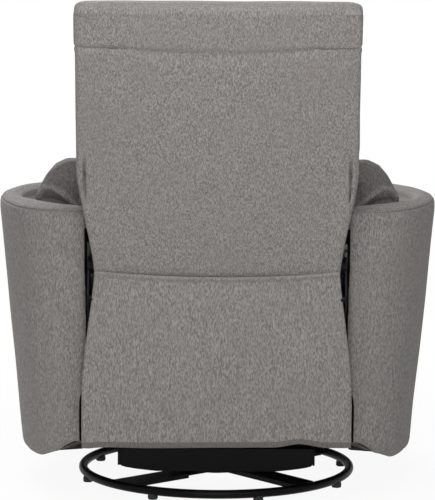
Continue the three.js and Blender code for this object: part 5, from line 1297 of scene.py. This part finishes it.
UNDERSIDE_VOXEL = 0.003

for side, _ in SIDES:
    underside = even_copy_of(
        f"arm_underside_{side}", f"arm_dust_cloth_{side}", lining, UNDERSIDE_VOXEL, smoothing=0)
    fitted(underside, "chair_frame", "lining", f"arm_underside_{side}")


# The base ring, smooth and round

RING_STEPS = 128
RING_SIDES = 24


def make_ring():
    low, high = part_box("base_ring")
    tube_radius = (high.z - low.z) / 2
    radius = high.x - tube_radius
    level = (high.z + low.z) / 2
    turns = [2 * math.pi * i / RING_STEPS for i in range(RING_STEPS)]
    path = [(radius * math.cos(turn), radius * math.sin(turn), level) for turn in turns]
    ring = tube("floor_ring", path, tube_radius, black_steel, sides=RING_SIDES)
    fitted(ring, "base", "black_steel", "base_ring")


make_ring()


# Finishes of the steel, timber and rubber pieces, by the starts of their names

EDGE_EASE = 0.0007
EDGE_ANGLE = math.radians(40)

FINISHES = (
    (zinc_steel, ("swivel_bolt", "swivel_race", "glide_link", "seat_springs", "headrest_hinge", "scissor",
                  "board_link", "board_bracket")),
    # The recline brackets take the darkened zinc as painted shade.
    (zinc_darkened_as_shade, ("recline_bracket",)),
    (plywood, ("front_cross_rail", "rear_cross_rail", "seat_frame", "back_frame", "footrest_board")),
    (rubber, ("foot_",)),
    (black_steel, ("base_ring", "cross_bar", "swivel_pedestal", "deck_frame", "pivot_stand", "glide_rail",
                   "slide_guide", "side_plate", "skirt_rail")),
)
for finish, names in FINISHES:
    for node_name, node in cad.items():
        if node_name.startswith(names):
            node.data.materials.clear()
            node.data.materials.append(finish)
            edge = node.modifiers.new("eased_edges", "BEVEL")
            set_values(edge, width=EDGE_EASE, segments=2, limit_method="ANGLE", angle_limit=EDGE_ANGLE)


# Stage: a pale floor that keeps the shadow, and plain soft light

FLOOR_HALF = 40.0
FLOOR_FADE_START = 0.7
FLOOR_FADE_END = 2.2
FLOOR_GLOW_NEAR = 0.93


def make_floor_material():
    material = bpy.data.materials.new("pale_floor")
    material.use_nodes = True
    tree = material.node_tree
    matte = tree.nodes["Principled BSDF"]
    set_inputs(tree, matte, {
        "Base Color": (0.92, 0.92, 0.92, 1), "Roughness": 0.9, "Specular IOR Level": 0.1,
    })
    glow = add_node(tree, "Emission", {"Color": (1, 1, 1, 1), "Strength": 1.0})
    where = add_node(tree, "TexCoord", {}).outputs["Object"]
    far = add_node(tree, "VectorMath", {0: where}, operation="LENGTH").outputs["Value"]
    fade = add_node(tree, "MapRange", {
        "Value": far, "From Min": FLOOR_FADE_START, "From Max": FLOOR_FADE_END,
        "To Min": FLOOR_GLOW_NEAR, "To Max": 1.0,
    })
    path = add_node(tree, "LightPath", {}).outputs
    seen = math_of(tree, "MAXIMUM", path["Is Camera Ray"], path["Is Glossy Ray"])
    share = math_of(tree, "MULTIPLY", fade.outputs["Result"], seen)
    shades = {"Fac": share, 1: matte.outputs["BSDF"], 2: glow.outputs["Emission"]}
    blended = add_node(tree, "MixShader", shades).outputs["Shader"]
    set_inputs(tree, tree.nodes["Material Output"], {"Surface": blended})
    return material


FLOOR_CORNERS = [(FLOOR_HALF * x, FLOOR_HALF * y, 0) for x, y in ((-1, -1), (1, -1), (1, 1), (-1, 1))]
piece_from("floor", FLOOR_CORNERS, [(0, 1, 2, 3)], make_floor_material(), smooth=False)

WORLD_LIGHT = 0.17


def make_world():
    world = bpy.data.worlds.new("studio")
    scene.world = world
    world.use_nodes = True
    tree = world.node_tree
    path = add_node(tree, "LightPath", {}).outputs
    seen = math_of(tree, "MAXIMUM", path["Is Camera Ray"], path["Is Transmission Ray"])
    seen = math_of(tree, "MAXIMUM", seen, path["Is Glossy Ray"])
    strength = mix_values(tree, seen, WORLD_LIGHT, 1.0)
    set_inputs(tree, tree.nodes["Background"], {"Color": (1, 1, 1, 1), "Strength": strength})


make_world()


# Each panel light: its name, place, target, side and power
PANELS = (
    ("key_panel", (0, 2.0, 1.9), (0, 0.3, 0.6), 1.2, 14),
    ("top_panel", (0, 1.2, 2.1), (0, 0.4, 0.8), 0.9, 11),
    ("fill_panel", (0, 7.5, 1.2), (0, 0.3, 0.5), 2.4, 118),
    ("left_panel", (3.2, 1.0, 2.2), (0, 0, 0.5), 2.4, 9),
    ("right_panel", (-3.2, 1.0, 2.2), (0, 0, 0.5), 2.4, 9),
    ("front_panel", (1.4, -3.6, 3.0), (0, 0, 0.5), 2.6, 165),
)
for panel_name, place, target, side_length, power in PANELS:
    panel = bpy.data.lights.new(panel_name, "AREA")
    set_values(panel, shape="SQUARE", size=side_length, energy=power)
    lamp = bpy.data.objects.new(panel_name, panel)
    lamp.location = place
    lamp.rotation_mode = "QUATERNION"
    lamp.rotation_quaternion = (Vector(target) - Vector(place)).to_track_quat("-Z", "Y")
    scene.collection.objects.link(lamp)


# Camera

camera_data = bpy.data.cameras.new("camera")
camera_data.sensor_fit = "VERTICAL"
camera_data.sensor_height = SENSOR
camera_data.sensor_width = SENSOR
camera_data.lens = FOCAL_PIXELS / IMAGE_HEIGHT_PIXELS * SENSOR
camera_data.shift_x = VIEW_SHIFT_X_SHARE
camera_data.shift_y = VIEW_SHIFT_Y_SHARE
camera_data.clip_end = FLOOR_HALF * 2
camera = bpy.data.objects.new("camera", camera_data)
camera.location = (0, CAMERA_DISTANCE, CAMERA_HEIGHT)
facing = Matrix.Rotation(math.pi, 4, "Z") @ Matrix.Rotation(math.pi / 2 - CAMERA_PITCH, 4, "X")
camera.rotation_mode = "QUATERNION"
camera.rotation_quaternion = (facing @ Matrix.Rotation(CAMERA_ROLL, 4, "Z")).to_quaternion()
scene.collection.objects.link(camera)
scene.camera = camera
scene.view_settings.view_transform = "Standard"
